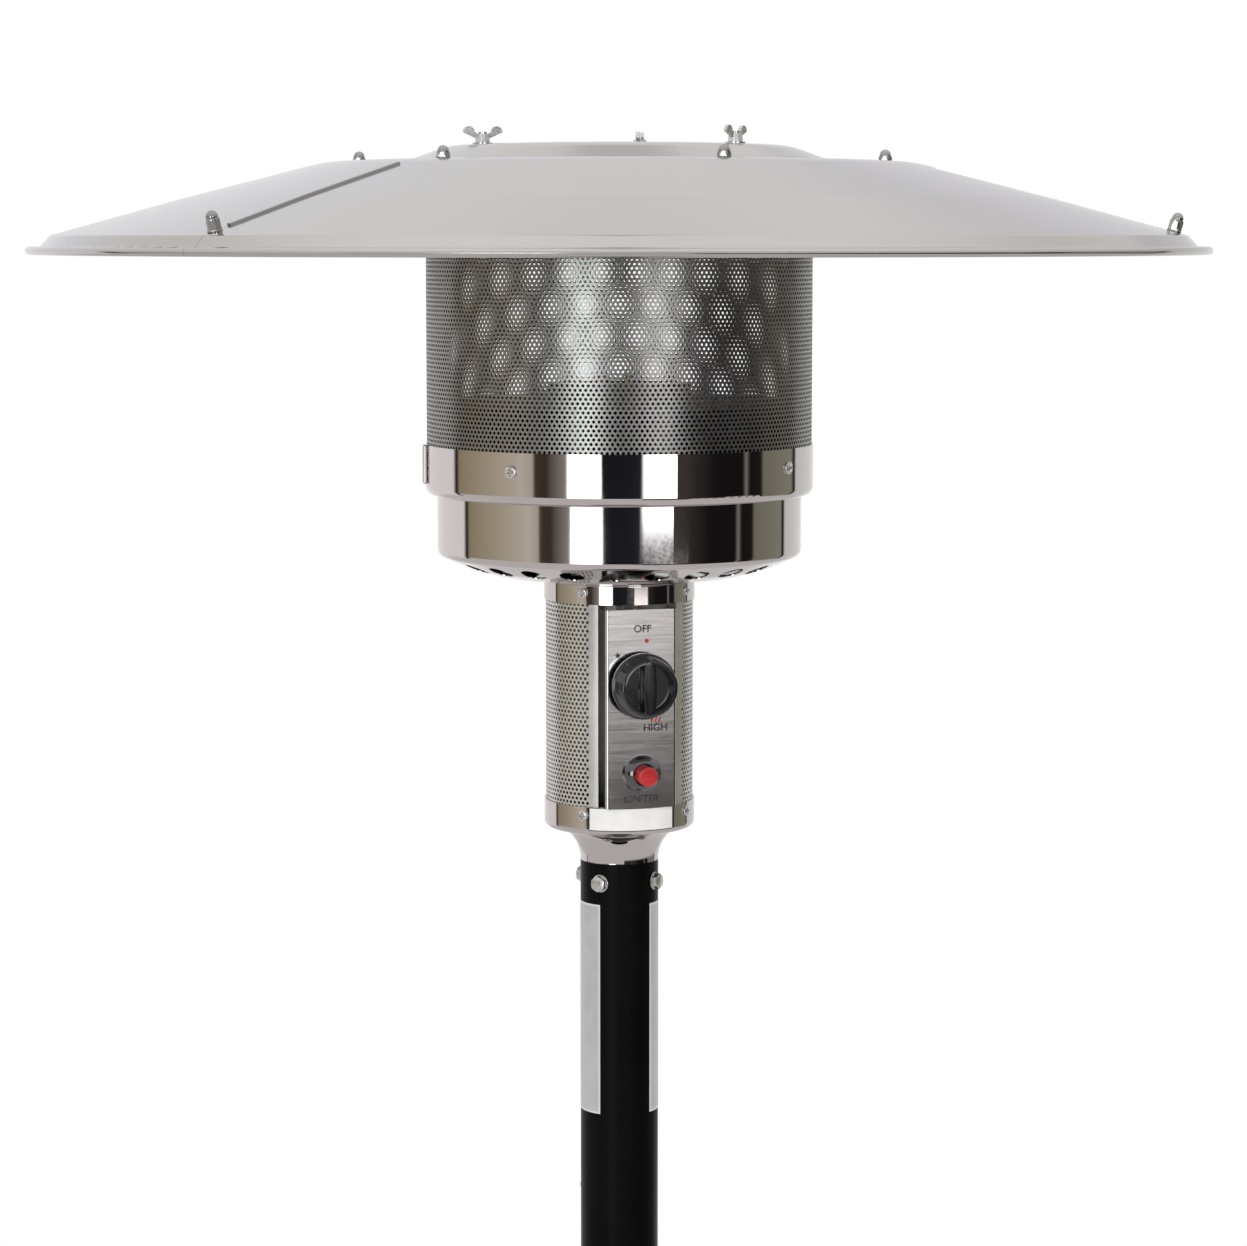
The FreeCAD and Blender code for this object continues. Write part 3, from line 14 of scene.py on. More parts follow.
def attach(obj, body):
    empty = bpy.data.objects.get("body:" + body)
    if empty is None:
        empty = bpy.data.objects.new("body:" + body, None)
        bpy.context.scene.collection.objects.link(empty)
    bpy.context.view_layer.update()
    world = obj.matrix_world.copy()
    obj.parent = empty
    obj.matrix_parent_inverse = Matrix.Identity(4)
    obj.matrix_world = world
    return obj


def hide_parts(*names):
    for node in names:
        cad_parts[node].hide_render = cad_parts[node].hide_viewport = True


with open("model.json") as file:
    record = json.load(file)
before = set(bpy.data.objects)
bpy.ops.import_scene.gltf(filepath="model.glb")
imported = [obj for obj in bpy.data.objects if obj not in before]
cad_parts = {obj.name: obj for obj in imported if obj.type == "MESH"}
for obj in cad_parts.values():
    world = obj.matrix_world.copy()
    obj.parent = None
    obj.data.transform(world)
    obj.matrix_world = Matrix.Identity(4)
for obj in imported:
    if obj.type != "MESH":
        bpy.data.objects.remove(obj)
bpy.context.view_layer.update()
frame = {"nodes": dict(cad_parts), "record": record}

LOG = logging.getLogger("patio_heater")
MM = 0.001
QUARTER_TURN = math.pi / 2.0
FULL_TURN = 2.0 * math.pi

Colour = tuple[float, float, float]
Profile = Sequence[tuple[float, float]]


def srgb(red: float, green: float, blue: float) -> Colour:
    """Turn an 8-bit display colour into the linear colour a shader takes.

    Args:
        red: Red from 0 to 255.
        green: Green from 0 to 255.
        blue: Blue from 0 to 255.

    Returns:
        The linear colour.
    """
    def straight(value: float) -> float:
        """One channel made linear."""
        share = value / 255.0
        return share / 12.92 if share <= 0.04045 else ((share + 0.055) / 1.055) ** 2.4

    return straight(red), straight(green), straight(blue)


class Board:
    """Adds and joins the nodes of one tree."""

    def __init__(self, tree: bpy.types.NodeTree) -> None:
        """Keep the tree to work on."""
        self.tree = tree

    def add(self, kind: str, **settings: object) -> bpy.types.Node:
        """Add a node.

        Args:
            kind: Blender's name of the node type.
            settings: Properties of the node itself.

        Returns:
            The new node.
        """
        node = self.tree.nodes.new(kind)
        for key, value in settings.items():
            setattr(node, key, value)
        return node

    def put(self, node: bpy.types.Node, socket: object, value: object) -> None:
        """Feed one input with a link or a fixed value.

        Args:
            node: The node that takes the value.
            socket: Name or number of its input.
            value: An output socket, or a number, vector or colour.
        """
        target = node.inputs[socket]
        if isinstance(value, bpy.types.NodeSocket):
            self.tree.links.new(value, target)
        else:
            target.default_value = value

    def math(self, operation: str, *values: object) -> bpy.types.NodeSocket:
        """Do one sum.

        Args:
            operation: Name of the sum.
            values: Links or numbers that go in.

        Returns:
            The result's socket.
        """
        node = self.add("ShaderNodeMath", operation=operation)
        for index, value in enumerate(values):
            self.put(node, index, value)
        return node.outputs[0]

    def vector(self, x: object, y: object, z: object) -> bpy.types.NodeSocket:
        """Join three values into a vector.

        Args:
            x: First link or number.
            y: Second link or number.
            z: Third link or number.

        Returns:
            The vector's socket.
        """
        node = self.add("ShaderNodeCombineXYZ")
        for index, value in enumerate((x, y, z)):
            self.put(node, index, value)
        return node.outputs[0]

    def parts(self, vector: bpy.types.NodeSocket) -> list[bpy.types.NodeSocket]:
        """Split a vector into its three values."""
        node = self.add("ShaderNodeSeparateXYZ")
        self.put(node, 0, vector)
        return list(node.outputs)

    def noise(self, vector: bpy.types.NodeSocket, scale: float, detail: float = 3.0) -> bpy.types.NodeSocket:
        """Cloudy pattern.

        Args:
            vector: Where it is read.
            scale: Clouds per metre.
            detail: Octaves of finer clouds.

        Returns:
            The pattern, from 0 to 1.
        """
        node = self.add("ShaderNodeTexNoise")
        self.put(node, "Vector", vector)
        self.put(node, "Scale", scale)
        self.put(node, "Detail", detail)
        return node.outputs["Fac"]

    def span(self, value: bpy.types.NodeSocket, low: float, high: float,
             start: float = 0.3, end: float = 0.7) -> bpy.types.NodeSocket:
        """Map a pattern onto a range.

        Args:
            value: The pattern.
            low: Result at its start.
            high: Result at its end.
            start: Value taken as the pattern's start.
            end: Value taken as its end.

        Returns:
            The mapped value.
        """
        node = self.add("ShaderNodeMapRange", interpolation_type="SMOOTHSTEP")
        for name, entry in (("Value", value), ("From Min", start), ("From Max", end),
                            ("To Min", low), ("To Max", high)):
            self.put(node, name, entry)
        return node.outputs[0]

    def blend(self, share: object, first: object, second: object) -> bpy.types.NodeSocket:
        """Mix two colours.

        Args:
            share: Link or number, 0 for the first colour and 1 for the second.
            first: First colour or link.
            second: Second colour or link.

        Returns:
            The mixed colour.
        """
        node = self.add("ShaderNodeMix", data_type="RGBA")
        for index, value in ((0, share), (6, first), (7, second)):
            self.put(node, index, (*value, 1.0) if isinstance(value, tuple) else value)
        return node.outputs[2]

    def bump(self, height: bpy.types.NodeSocket, depth: float,
             under: bpy.types.NodeSocket | None = None) -> bpy.types.NodeSocket:
        """Raise a pattern off the surface.

        Args:
            height: The pattern.
            depth: Its height in metres.
            under: Normal of a coarser relief that it lies on.

        Returns:
            The bent normal.
        """
        node = self.add("ShaderNodeBump")
        self.put(node, "Height", height)
        self.put(node, "Distance", depth)
        if under is not None:
            self.put(node, "Normal", under)
        return node.outputs[0]


def new_material(name: str) -> tuple[bpy.types.Material, Board, bpy.types.Node]:
    """Start a material.

    Args:
        name: The material's name.

    Returns:
        The material, the board of its tree and its surface shader.
    """
    material = bpy.data.materials.new(name)
    material.use_nodes = True
    tree = material.node_tree
    tree.nodes.clear()
    board = Board(tree)
    shader = board.add("ShaderNodeBsdfPrincipled")
    output = board.add("ShaderNodeOutputMaterial")
    board.put(output, "Surface", shader.outputs[0])
    return material, board, shader


class Grain(Enum):
    """How far a pattern is stretched along X, Y and Z by the way the metal was worked."""

    EVEN = (1.0, 1.0, 1.0)
    ACROSS = (0.02, 1.0, 1.0)


@dataclass(frozen=True)
class MetalFinish:
    """Bare or plated metal, with the marks of its working and its handling."""

    name: str
    colour: Colour
    shade: Colour
    dull: tuple[float, float]
    grain: Grain = Grain.EVEN
    grain_scale: float = 900.0
    grain_depth: float = 1.0e-6
    cloud_scale: float = 14.0
    wave_scale: float = 0.0
    wave_depth: float = 0.0
    streak: float = 0.0

    def material(self) -> bpy.types.Material:
        """Build the finish as a material."""
        material, board, shader = new_material(self.name)
        place = board.add("ShaderNodeTexCoord").outputs["Object"]
        stretch = board.add("ShaderNodeMapping")
        board.put(stretch, "Vector", place)
        board.put(stretch, "Scale", self.grain.value)
        marks = board.noise(stretch.outputs[0], self.grain_scale, 4.0)
        clouds = board.noise(place, self.cloud_scale, 4.0)
        streaks = board.math("ADD", board.math("MULTIPLY", clouds, 1.0 - self.streak),
                             board.math("MULTIPLY", marks, self.streak))
        board.put(shader, "Base Color", self.tone(board, place, streaks))
        wear = board.math("ADD", board.math("MULTIPLY", clouds, 0.6), board.math("MULTIPLY", marks, 0.4))
        board.put(shader, "Roughness", board.span(wear, self.dull[0], self.dull[1]))
        shader.inputs["Metallic"].default_value = 1.0
        relief = None
        if self.wave_depth > 0.0:
            relief = board.bump(board.noise(place, self.wave_scale, 1.0), self.wave_depth)
        board.put(shader, "Normal", board.bump(marks, self.grain_depth, relief))
        return material

    def tone(self, board: Board, place: bpy.types.NodeSocket, clouds: bpy.types.NodeSocket) -> bpy.types.NodeSocket:
        """Colour of the metal.

        Args:
            board: The board of the material's tree.
            place: Where the colour is read; the plain finish does not use it.
            clouds: Pattern of lighter and darker patches.

        Returns:
            The colour's socket.
        """
        return board.blend(board.span(clouds, 0.0, 1.0), self.shade, self.colour)


@dataclass(frozen=True)
class SeamedFinish(MetalFinish):
    """Sheet metal with painted shade along the folds between its panels, standing in for their dark reflection."""

    first_seam: float = 63.0
    seam_turn: float = 120.0
    inner: float = 0.216
    outer: float = 0.371
    half_width: float = 0.0017
    # share of the shade colour taken for the painted shade on the folds
    fold_shade: float = 0.86

    def tone(self, board: Board, place: bpy.types.NodeSocket, clouds: bpy.types.NodeSocket) -> bpy.types.NodeSocket:
        """Colour of the metal, with painted shade on the folds.

        Args:
            board: The board of the material's tree.
            place: Where the colour is read.
            clouds: Pattern of lighter and darker patches.

        Returns:
            The colour's socket.
        """
        plain = super().tone(board, place, clouds)
        x, y, _ = board.parts(place)
        angle = board.math("ARCTAN2", x, board.math("MULTIPLY", y, -1.0))
        half = math.radians(self.seam_turn / 2.0)
        beside = board.math("WRAP", board.math("SUBTRACT", angle, math.radians(self.first_seam)), half, -half)
        radius = board.math("SQRT", board.math("ADD", board.math("MULTIPLY", x, x), board.math("MULTIPLY", y, y)))
        away = board.math("ABSOLUTE", board.math("MULTIPLY", board.math("SINE", beside), radius))
        near = board.span(away, 1.0, 0.0, self.half_width, self.half_width * 1.15)
        along = board.math("MULTIPLY", board.math("GREATER_THAN", radius, self.inner),
                           board.math("LESS_THAN", radius, self.outer))
        # painted shade: the folds are darkened to stand in for the dark reflection and shade they show
        dull = tuple(channel * self.fold_shade for channel in self.shade)
        return board.blend(board.math("MULTIPLY", near, along), plain, dull)


@dataclass(frozen=True)
class ShadedBowlFinish(MetalFinish):
    """Plated bowl with painted shade: black on its inner side and on its top above the band."""

    soot_height: float = 1.9885
    # colour of the painted shade inside the bowl
    painted_shade: Colour = (0.022, 0.021, 0.020)
    bottom: float = 1.897
    half_sheet: float = 0.0005
    dish: tuple[tuple[float, float, float], ...] = ((0.066, 0.0, 0.1318), (0.088, 0.0029, 0.2706),
                                                    (0.105, 0.0075, 0.4318))
    dish_radius: float = 0.1215
    wall_middle: float = 0.1265
    wall_start: float = 1.9215

    def tone(self, board: Board, place: bpy.types.NodeSocket, clouds: bpy.types.NodeSocket) -> bpy.types.NodeSocket:
        """Colour of the metal, painted black as shade inside the bowl and above its band.

        Args:
            board: The board of the material's tree.
            place: Where the colour is read.
            clouds: Pattern of lighter and darker patches.

        Returns:
            The colour's socket.
        """
        plain = super().tone(board, place, clouds)
        x, y, z = board.parts(place)
        radius = board.math("SQRT", board.math("ADD", board.math("MULTIPLY", x, x), board.math("MULTIPLY", y, y)))
        rise = 0.0
        for start, lift, slope in self.dish:
            line = board.math("MULTIPLY_ADD", board.math("SUBTRACT", radius, start), slope, lift)
            rise = board.math("MAXIMUM", rise, line)
        above = board.math("SUBTRACT", board.math("SUBTRACT", z, self.bottom), rise)
        floor = board.math("MULTIPLY", board.math("LESS_THAN", radius, self.dish_radius),
                           board.math("GREATER_THAN", above, self.half_sheet))
        wall = board.math("MULTIPLY", board.math("LESS_THAN", radius, self.wall_middle),
                          board.math("GREATER_THAN", z, self.wall_start))
        rim = board.math("GREATER_THAN", z, self.soot_height)
        # painted shade: the bowl's inner floor, inner wall and top behind the screen are coloured black
        shaded_part = board.math("MAXIMUM", board.math("MAXIMUM", floor, wall), rim)
        return board.blend(shaded_part, plain, self.painted_shade)


@dataclass(frozen=True)
class MouldedFinish:
    """Paint, plastic, rubber, ceramic or stone, with its skin texture."""

    name: str
    colour: Colour
    shade: Colour
    dull: tuple[float, float]
    skin_scale: float = 1200.0
    skin_depth: float = 4.0e-6
    cloud_scale: float = 18.0
    coat: float = 0.0
    specular: float = 0.5

    def material(self) -> bpy.types.Material:
        """Build the finish as a material."""
        material, board, shader = new_material(self.name)
        place = board.add("ShaderNodeTexCoord").outputs["Object"]
        skin = board.noise(place, self.skin_scale, 2.0)
        clouds = board.noise(place, self.cloud_scale, 5.0)
        board.put(shader, "Base Color", board.blend(board.span(clouds, 0.0, 1.0), self.shade, self.colour))
        board.put(shader, "Roughness", board.span(clouds, self.dull[0], self.dull[1]))
        board.put(shader, "Normal", board.bump(skin, self.skin_depth))
        shader.inputs["Coat Weight"].default_value = self.coat
        shader.inputs["Coat Roughness"].default_value = 0.06
        shader.inputs["Specular IOR Level"].default_value = self.specular
        return material


class Slot(Enum):
    """The record's material slots."""

    REFLECTOR = "reflector_metal"
    CHROME = "chrome"
    SCREEN = "screen_steel"
    PANEL = "panel_steel"
    PAINT = "black_paint"
    HARDWARE = "bright_hardware"
    BRASS = "brass"
    CAST = "cast_alloy"
    IRON = "burner_iron"
    KNOB = "knob_black"
    PLASTIC = "black_plastic"
    BUTTON = "button_red"
    CERAMIC = "insulator"
    RUBBER = "foot_rubber"
    CONCRETE = "concrete"


Finish = MetalFinish | MouldedFinish

FINISHES: dict[Slot, Finish] = {
    Slot.REFLECTOR: SeamedFinish(
        "polished_hood_sheet", (0.50, 0.487, 0.475), (0.475, 0.462, 0.45), (0.10, 0.18),
        grain_scale=700.0, grain_depth=4.0e-7, cloud_scale=5.0, wave_scale=6.0, wave_depth=2.0e-4),
    Slot.CHROME: MetalFinish(
        "mirror_chrome", (0.57, 0.53, 0.525), (0.54, 0.505, 0.50), (0.03, 0.07),
        grain_scale=400.0, grain_depth=1.0e-7, cloud_scale=10.0, wave_scale=18.0, wave_depth=2.0e-5),
    Slot.SCREEN: MetalFinish(
        "perforated_steel", (0.74, 0.725, 0.70), (0.66, 0.645, 0.62), (0.28, 0.38),
        grain_scale=500.0, grain_depth=1.0e-6, cloud_scale=16.0),
    Slot.PANEL: MetalFinish(
        "brushed_panel_steel", (0.72, 0.69, 0.675), (0.52, 0.50, 0.49), (0.11, 0.16),
        grain=Grain.ACROSS, grain_scale=1500.0, grain_depth=1.0e-6, cloud_scale=22.0, streak=0.8),
    Slot.PAINT: MouldedFinish(
        "black_powder_coat", (0.0025, 0.0025, 0.0025), (0.0018, 0.0018, 0.0018), (0.30, 0.42),
        skin_scale=1500.0, skin_depth=6.0e-6, cloud_scale=9.0, specular=0.06),
    Slot.HARDWARE: MetalFinish(
        "bright_zinc", (0.68, 0.67, 0.66), (0.54, 0.53, 0.52), (0.20, 0.36),
        grain_scale=1500.0, grain_depth=2.0e-6, cloud_scale=90.0),
    Slot.BRASS: MetalFinish(
        "machined_brass", (0.62, 0.43, 0.17), (0.46, 0.30, 0.11), (0.18, 0.34),
        grain_scale=1800.0, grain_depth=2.0e-6, cloud_scale=60.0),
    Slot.CAST: MetalFinish(
        "die_cast_alloy", (0.47, 0.47, 0.48), (0.38, 0.38, 0.39), (0.36, 0.52),
        grain_scale=1100.0, grain_depth=2.0e-5, cloud_scale=40.0),
    Slot.IRON: MetalFinish(
        "heat_darkened_iron", (0.12, 0.11, 0.105), (0.07, 0.055, 0.05), (0.45, 0.70),
        grain_scale=900.0, grain_depth=3.0e-5, cloud_scale=30.0),
    Slot.KNOB: MouldedFinish(
        "gloss_black_moulding", (0.011, 0.0113, 0.0118), (0.009, 0.0093, 0.0098), (0.10, 0.18),
        skin_scale=600.0, skin_depth=1.0e-6, cloud_scale=60.0, coat=0.3),
    Slot.PLASTIC: MouldedFinish(
        "matt_black_moulding", (0.020, 0.020, 0.020), (0.014, 0.014, 0.014), (0.45, 0.60),
        skin_scale=2200.0, skin_depth=1.0e-5),
    Slot.BUTTON: MouldedFinish(
        "red_push_button", (0.50, 0.018, 0.022), (0.38, 0.012, 0.014), (0.16, 0.28),
        skin_scale=700.0, skin_depth=3.0e-6, cloud_scale=80.0, coat=0.3),
    Slot.CERAMIC: MouldedFinish(
        "white_ceramic", (0.78, 0.75, 0.70), (0.66, 0.62, 0.56), (0.30, 0.48),
        skin_scale=1600.0, skin_depth=5.0e-6, cloud_scale=120.0),
    Slot.RUBBER: MouldedFinish(
        "black_foot_rubber", (0.018, 0.018, 0.018), (0.012, 0.012, 0.012), (0.60, 0.80),
        skin_scale=1900.0, skin_depth=1.5e-5),
    Slot.CONCRETE: MouldedFinish(
        "cast_ballast", (0.42, 0.41, 0.385), (0.27, 0.26, 0.245), (0.75, 0.95),
        skin_scale=420.0, skin_depth=2.0e-4, cloud_scale=55.0),
}


EMITTER_FINISH = MetalFinish(
    "heat_toned_emitter", (0.31, 0.30, 0.288), (0.26, 0.25, 0.238), (0.26, 0.36),
    grain_scale=500.0, grain_depth=1.0e-6, cloud_scale=16.0)
NUT_FINISH = MetalFinish(
    "polished_nut_nickel", (0.36, 0.35, 0.34), (0.30, 0.29, 0.28), (0.06, 0.12),
    grain_scale=900.0, grain_depth=4.0e-7, cloud_scale=40.0)
SCORCHED_FINISH = MetalFinish(
    "scorched_steel", (0.085, 0.080, 0.076), (0.050, 0.047, 0.045), (0.45, 0.62),
    grain_scale=500.0, grain_depth=3.0e-6, cloud_scale=30.0)
NODE_FINISHES: dict[str, Finish] = {
    "flame_tube": SCORCHED_FINISH,
    "burner_plate": SCORCHED_FINISH,
    "burner_head": SCORCHED_FINISH,
    # chrome bowl with painted shade on its inner side and top
    "burner_bowl": ShadedBowlFinish(
        "sooted_chrome", (0.57, 0.53, 0.525), (0.54, 0.505, 0.50), (0.03, 0.07),
        grain_scale=400.0, grain_depth=1.0e-7, cloud_scale=10.0, wave_scale=18.0, wave_depth=2.0e-5),
    "igniter_bezel": MouldedFinish(
        "polished_black_bezel", (0.006, 0.006, 0.0065), (0.0045, 0.0045, 0.005), (0.05, 0.09),
        skin_scale=500.0, skin_depth=1.0e-6, cloud_scale=80.0, coat=1.0, specular=1.0),
}


class FinishShelf:
    """Makes each finish's material once."""

    def __init__(self) -> None:
        """Start with an empty shelf."""
        self.made: dict[Finish, bpy.types.Material] = {}

    def special(self, finish: Finish) -> bpy.types.Material:
        """Give the material of a finish."""
        if finish not in self.made:
            self.made[finish] = finish.material()
        return self.made[finish]

    def take(self, slot: Slot) -> bpy.types.Material:
        """Give the material of a slot."""
        return self.special(FINISHES[slot])

    def dress_solids(self) -> None:
        """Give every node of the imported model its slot's material."""
        slots = {row["node"]: Slot(row["material_slot"]) for row in frame["record"]["subparts"]}
        for name, node in frame["nodes"].items():
            node.data.materials.clear()
            node.data.materials.append(self.special(NODE_FINISHES.get(name, FINISHES[slots[name]])))
        LOG.info("dressed %d solids", len(frame["nodes"]))


def finished(name: str, mesh: bpy.types.Mesh, body: str,
             nodes: Sequence[str] = (), sharp: float = 35.0) -> bpy.types.Object:
    """Put a finished mesh in the scene as a piece.

    Args:
        name: The piece's name.
        mesh: Its mesh, in place.
        body: The body it moves with.
        nodes: The solids that it stands for.
        sharp: Edges that turn by more degrees than this stay sharp.

    Returns:
        The piece.
    """
    mesh.name = name
    mesh.shade_smooth()
    mesh.set_sharp_from_angle(angle=math.radians(sharp))
    piece = bpy.data.objects.new(name, mesh)
    bpy.context.scene.collection.objects.link(piece)
    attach(piece, body)
    if nodes:
        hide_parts(*nodes)
    LOG.info("%s: %d faces on %s", name, len(mesh.polygons), body)
    return piece


def mesh_of(points: Sequence[Sequence[float]], faces: Sequence[Sequence[int]],
            material: bpy.types.Material | None = None) -> bpy.types.Mesh:
    """Make a clean mesh.

    Args:
        points: Corner points in metres.
        faces: Corners of each face.
        material: Its finish.

    Returns:
        The mesh, with doubles merged and its faces pointing outwards.
    """
    mesh = bpy.data.meshes.new("draft")
    mesh.from_pydata([tuple(point) for point in points], [], faces)
    form = bmesh.new()
    form.from_mesh(mesh)
    bmesh.ops.remove_doubles(form, verts=form.verts, dist=1.0e-6)
    bmesh.ops.dissolve_degenerate(form, dist=1.0e-7, edges=form.edges)
    bmesh.ops.recalc_face_normals(form, faces=form.faces)
    form.to_mesh(mesh)
    form.free()
    if material is not None:
        mesh.materials.append(material)
    return mesh


def ring_faces(rows: int, columns: int, closed_rows: bool, closed_columns: bool) -> list[tuple[int, int, int, int]]:
    """Quads of a grid of points, row by row.

    Args:
        rows: Number of rows.
        columns: Number of points in a row.
        closed_rows: Whether the last row joins the first.
        closed_columns: Whether a row's last point joins its first.

    Returns:
        The faces.
    """
    faces = []
    for row in range(rows if closed_rows else rows - 1):
        upper = (row + 1) % rows
        for column in range(columns if closed_columns else columns - 1):
            after = (column + 1) % columns
            faces.append((row * columns + column, row * columns + after,
                          upper * columns + after, upper * columns + column))
    return faces


def relief_form(outline: Profile, lift: Callable[[float, float, float], float],
                material: bpy.types.Material | None, segments: int) -> bpy.types.Mesh:
    """Spin an open outline about Z and press a relief into it.

    Args:
        outline: (radius, height) points in millimetres, from the middle of the face to the edge of the back.
        lift: Gives the height at x, y and the plain height, all in millimetres.
        material: Its finish.
        segments: Steps in a full turn.

    Returns:
        The mesh, closed at the back.
    """
    points = []
    for radius, height in outline:
        for step in range(segments):
            angle = FULL_TURN * step / segments
            x, y = radius * math.cos(angle), radius * math.sin(angle)
            points.append((x * MM, y * MM, lift(x, y, height) * MM))
    faces: list[tuple[int, ...]] = list(ring_faces(len(outline), segments, False, True))
    last = (len(outline) - 1) * segments
    faces.append(tuple(range(last, last + segments)))
    return mesh_of(points, faces, material)


def step_up(value: float, start: float, end: float) -> float:
    """Smooth rise from 0 at start to 1 at end."""
    share = min(1.0, max(0.0, (value - start) / (end - start)))
    return share * share * (3.0 - 2.0 * share)


def facing_front(depth: float, height: float) -> Matrix:
    """Lay a form that points along Z so that it points out of the panel.

    Args:
        depth: Distance of its back from the axis, in millimetres.
        height: Its height above the floor, in millimetres.

    Returns:
        The placing.
    """
    return Matrix.Translation((0.0, -depth * MM, height * MM)) @ Matrix.Rotation(QUARTER_TURN, 4, "X")


class Tree:
    """A geometry tree with named inputs."""

    def __init__(self, name: str, inputs: Sequence[tuple[str, str]]) -> None:
        """Start the tree.

        Args:
            name: The tree's name.
            inputs: Name and kind of each input.
        """
        self.group = bpy.data.node_groups.new(name, "GeometryNodeTree")
        for label, kind in inputs:
            self.group.interface.new_socket(label, in_out="INPUT", socket_type="NodeSocket" + kind)
        self.group.interface.new_socket("Geometry", in_out="OUTPUT", socket_type="NodeSocketGeometry")
        self.board = Board(self.group)
        self.inputs = self.board.add("NodeGroupInput").outputs

    def close(self, geometry: bpy.types.NodeSocket) -> None:
        """End the tree in Realize Instances and Set Material."""
        board = self.board
        real = board.add("GeometryNodeRealizeInstances")
        board.put(real, 0, geometry)
        paint = board.add("GeometryNodeSetMaterial")
        board.put(paint, "Geometry", real.outputs[0])
        board.put(paint, "Material", self.inputs["Finish"])
        board.put(board.add("NodeGroupOutput"), 0, paint.outputs[0])

    def grow(self, **values: object) -> bpy.types.Mesh:
        """Run the tree.

        Args:
            values: Each input's value, by its name with _ for a space.

        Returns:
            The result as a plain mesh.
        """
        holder = bpy.data.objects.new("holder", bpy.data.meshes.new("holder"))
        bpy.context.scene.collection.objects.link(holder)
        modifier = holder.modifiers.new("tree", "NODES")
        modifier.node_group = self.group
        for item in self.group.interface.items_tree:
            if item.in_out == "INPUT":
                modifier[item.identifier] = values[item.name.replace(" ", "_")]
        graph = bpy.context.evaluated_depsgraph_get()
        mesh = bpy.data.meshes.new_from_object(holder.evaluated_get(graph))
        holder.modifiers.remove(modifier)
        bpy.data.objects.remove(holder)
        return mesh


class Stock:
    """Forms that a tree repeats, kept out of the scene."""

    @staticmethod
    def keep(name: str, mesh: bpy.types.Mesh) -> bpy.types.Object:
        """Hold a mesh as an object for a tree to repeat."""
        return bpy.data.objects.new(name, mesh)


class PerforationTree(Tree):
    """Rows of pierced cells bent round an upright cylinder."""

    def __init__(self) -> None:
        """Build the tree."""
        super().__init__("perforated_wall", (
            ("Cell", "Object"), ("Columns", "Int"), ("Rows", "Int"), ("Pitch", "Float"), ("Row Step", "Float"),
            ("Stagger", "Float"), ("Radius", "Float"), ("Turn", "Float"), ("Base", "Float"), ("Finish", "Material")))
        board, given = self.board, self.inputs
        index = board.add("GeometryNodeInputIndex").outputs[0]
        row = board.math("FLOOR", board.math("DIVIDE", board.math("ADD", index, 0.5), given["Columns"]))
        column = board.math("SUBTRACT", index, board.math("MULTIPLY", row, given["Columns"]))
        shift = board.math("MULTIPLY", given["Stagger"], board.math("MODULO", row, 2.0))
        across = board.math("MULTIPLY", board.math("ADD", column, shift), given["Pitch"])
        points = board.add("GeometryNodePoints")
        board.put(points, "Count", board.math("MULTIPLY", given["Columns"], given["Rows"]))
        board.put(points, "Position", board.vector(across, board.math("MULTIPLY", row, given["Row Step"]), 0.0))
        cell = board.add("GeometryNodeObjectInfo")
        board.put(cell, "Object", given["Cell"])
        copies = board.add("GeometryNodeInstanceOnPoints")
        board.put(copies, "Points", points.outputs[0])
        board.put(copies, "Instance", cell.outputs["Geometry"])
        real = board.add("GeometryNodeRealizeInstances")
        board.put(real, 0, copies.outputs[0])
        joined = board.add("GeometryNodeMergeByDistance")
        board.put(joined, "Geometry", real.outputs[0])
        board.put(joined, "Distance", 2.0e-5)
        x, y, z = board.parts(board.add("GeometryNodeInputPosition").outputs[0])
        angle = board.math("ADD", given["Turn"], board.math("DIVIDE", x, given["Radius"]))
        radius = board.math("ADD", given["Radius"], z)
        bent = board.add("GeometryNodeSetPosition")
        board.put(bent, "Geometry", joined.outputs[0])
        board.put(bent, "Position", board.vector(
            board.math("MULTIPLY", radius, board.math("SINE", angle)),
            board.math("MULTIPLY", radius, board.math("MULTIPLY", board.math("COSINE", angle), -1.0)),
            board.math("ADD", y, given["Base"])))
        self.close(bent.outputs[0])


class RingTree(Tree):
    """Copies of one form on a level circle, each leaning outwards."""

    def __init__(self) -> None:
        """Build the tree."""
        super().__init__("ring_of_fasteners", (
            ("Form", "Object"), ("Count", "Int"), ("Circle", "Float"), ("Start", "Float"), ("Height", "Float"),
            ("Lean", "Float"), ("Finish", "Material")))
        board, given = self.board, self.inputs
        index = board.add("GeometryNodeInputIndex").outputs[0]
        turn = board.math("DIVIDE", board.math("MULTIPLY", index, FULL_TURN), given["Count"])
        angle = board.math("ADD", given["Start"], turn)
        points = board.add("GeometryNodePoints")
        board.put(points, "Count", given["Count"])
        board.put(points, "Position", board.vector(
            board.math("MULTIPLY", given["Circle"], board.math("SINE", angle)),
            board.math("MULTIPLY", given["Circle"], board.math("MULTIPLY", board.math("COSINE", angle), -1.0)),
            given["Height"]))
        form = board.add("GeometryNodeObjectInfo")
        board.put(form, "Object", given["Form"])
        copies = board.add("GeometryNodeInstanceOnPoints")
        board.put(copies, "Points", points.outputs[0])
        board.put(copies, "Instance", form.outputs["Geometry"])
        board.put(copies, "Rotation", board.vector(given["Lean"], 0.0, angle))
        self.close(copies.outputs[0])


def joined(meshes: Sequence[bpy.types.Mesh]) -> bpy.types.Mesh:
    """Join meshes of one finish into the first.

    Args:
        meshes: The meshes, in place.

    Returns:
        One mesh.
    """
    form = bmesh.new()
    for mesh in meshes:
        form.from_mesh(mesh)
    whole = meshes[0]
    form.to_mesh(whole)
    form.free()
    return whole


@dataclass(frozen=True)
class Pierced:
    """A stretch of punched holes on a wall, by its end angles in degrees."""

    first: float
    last: float
    columns: int
    rows: int
    row_step: float
    pieces: int = 1


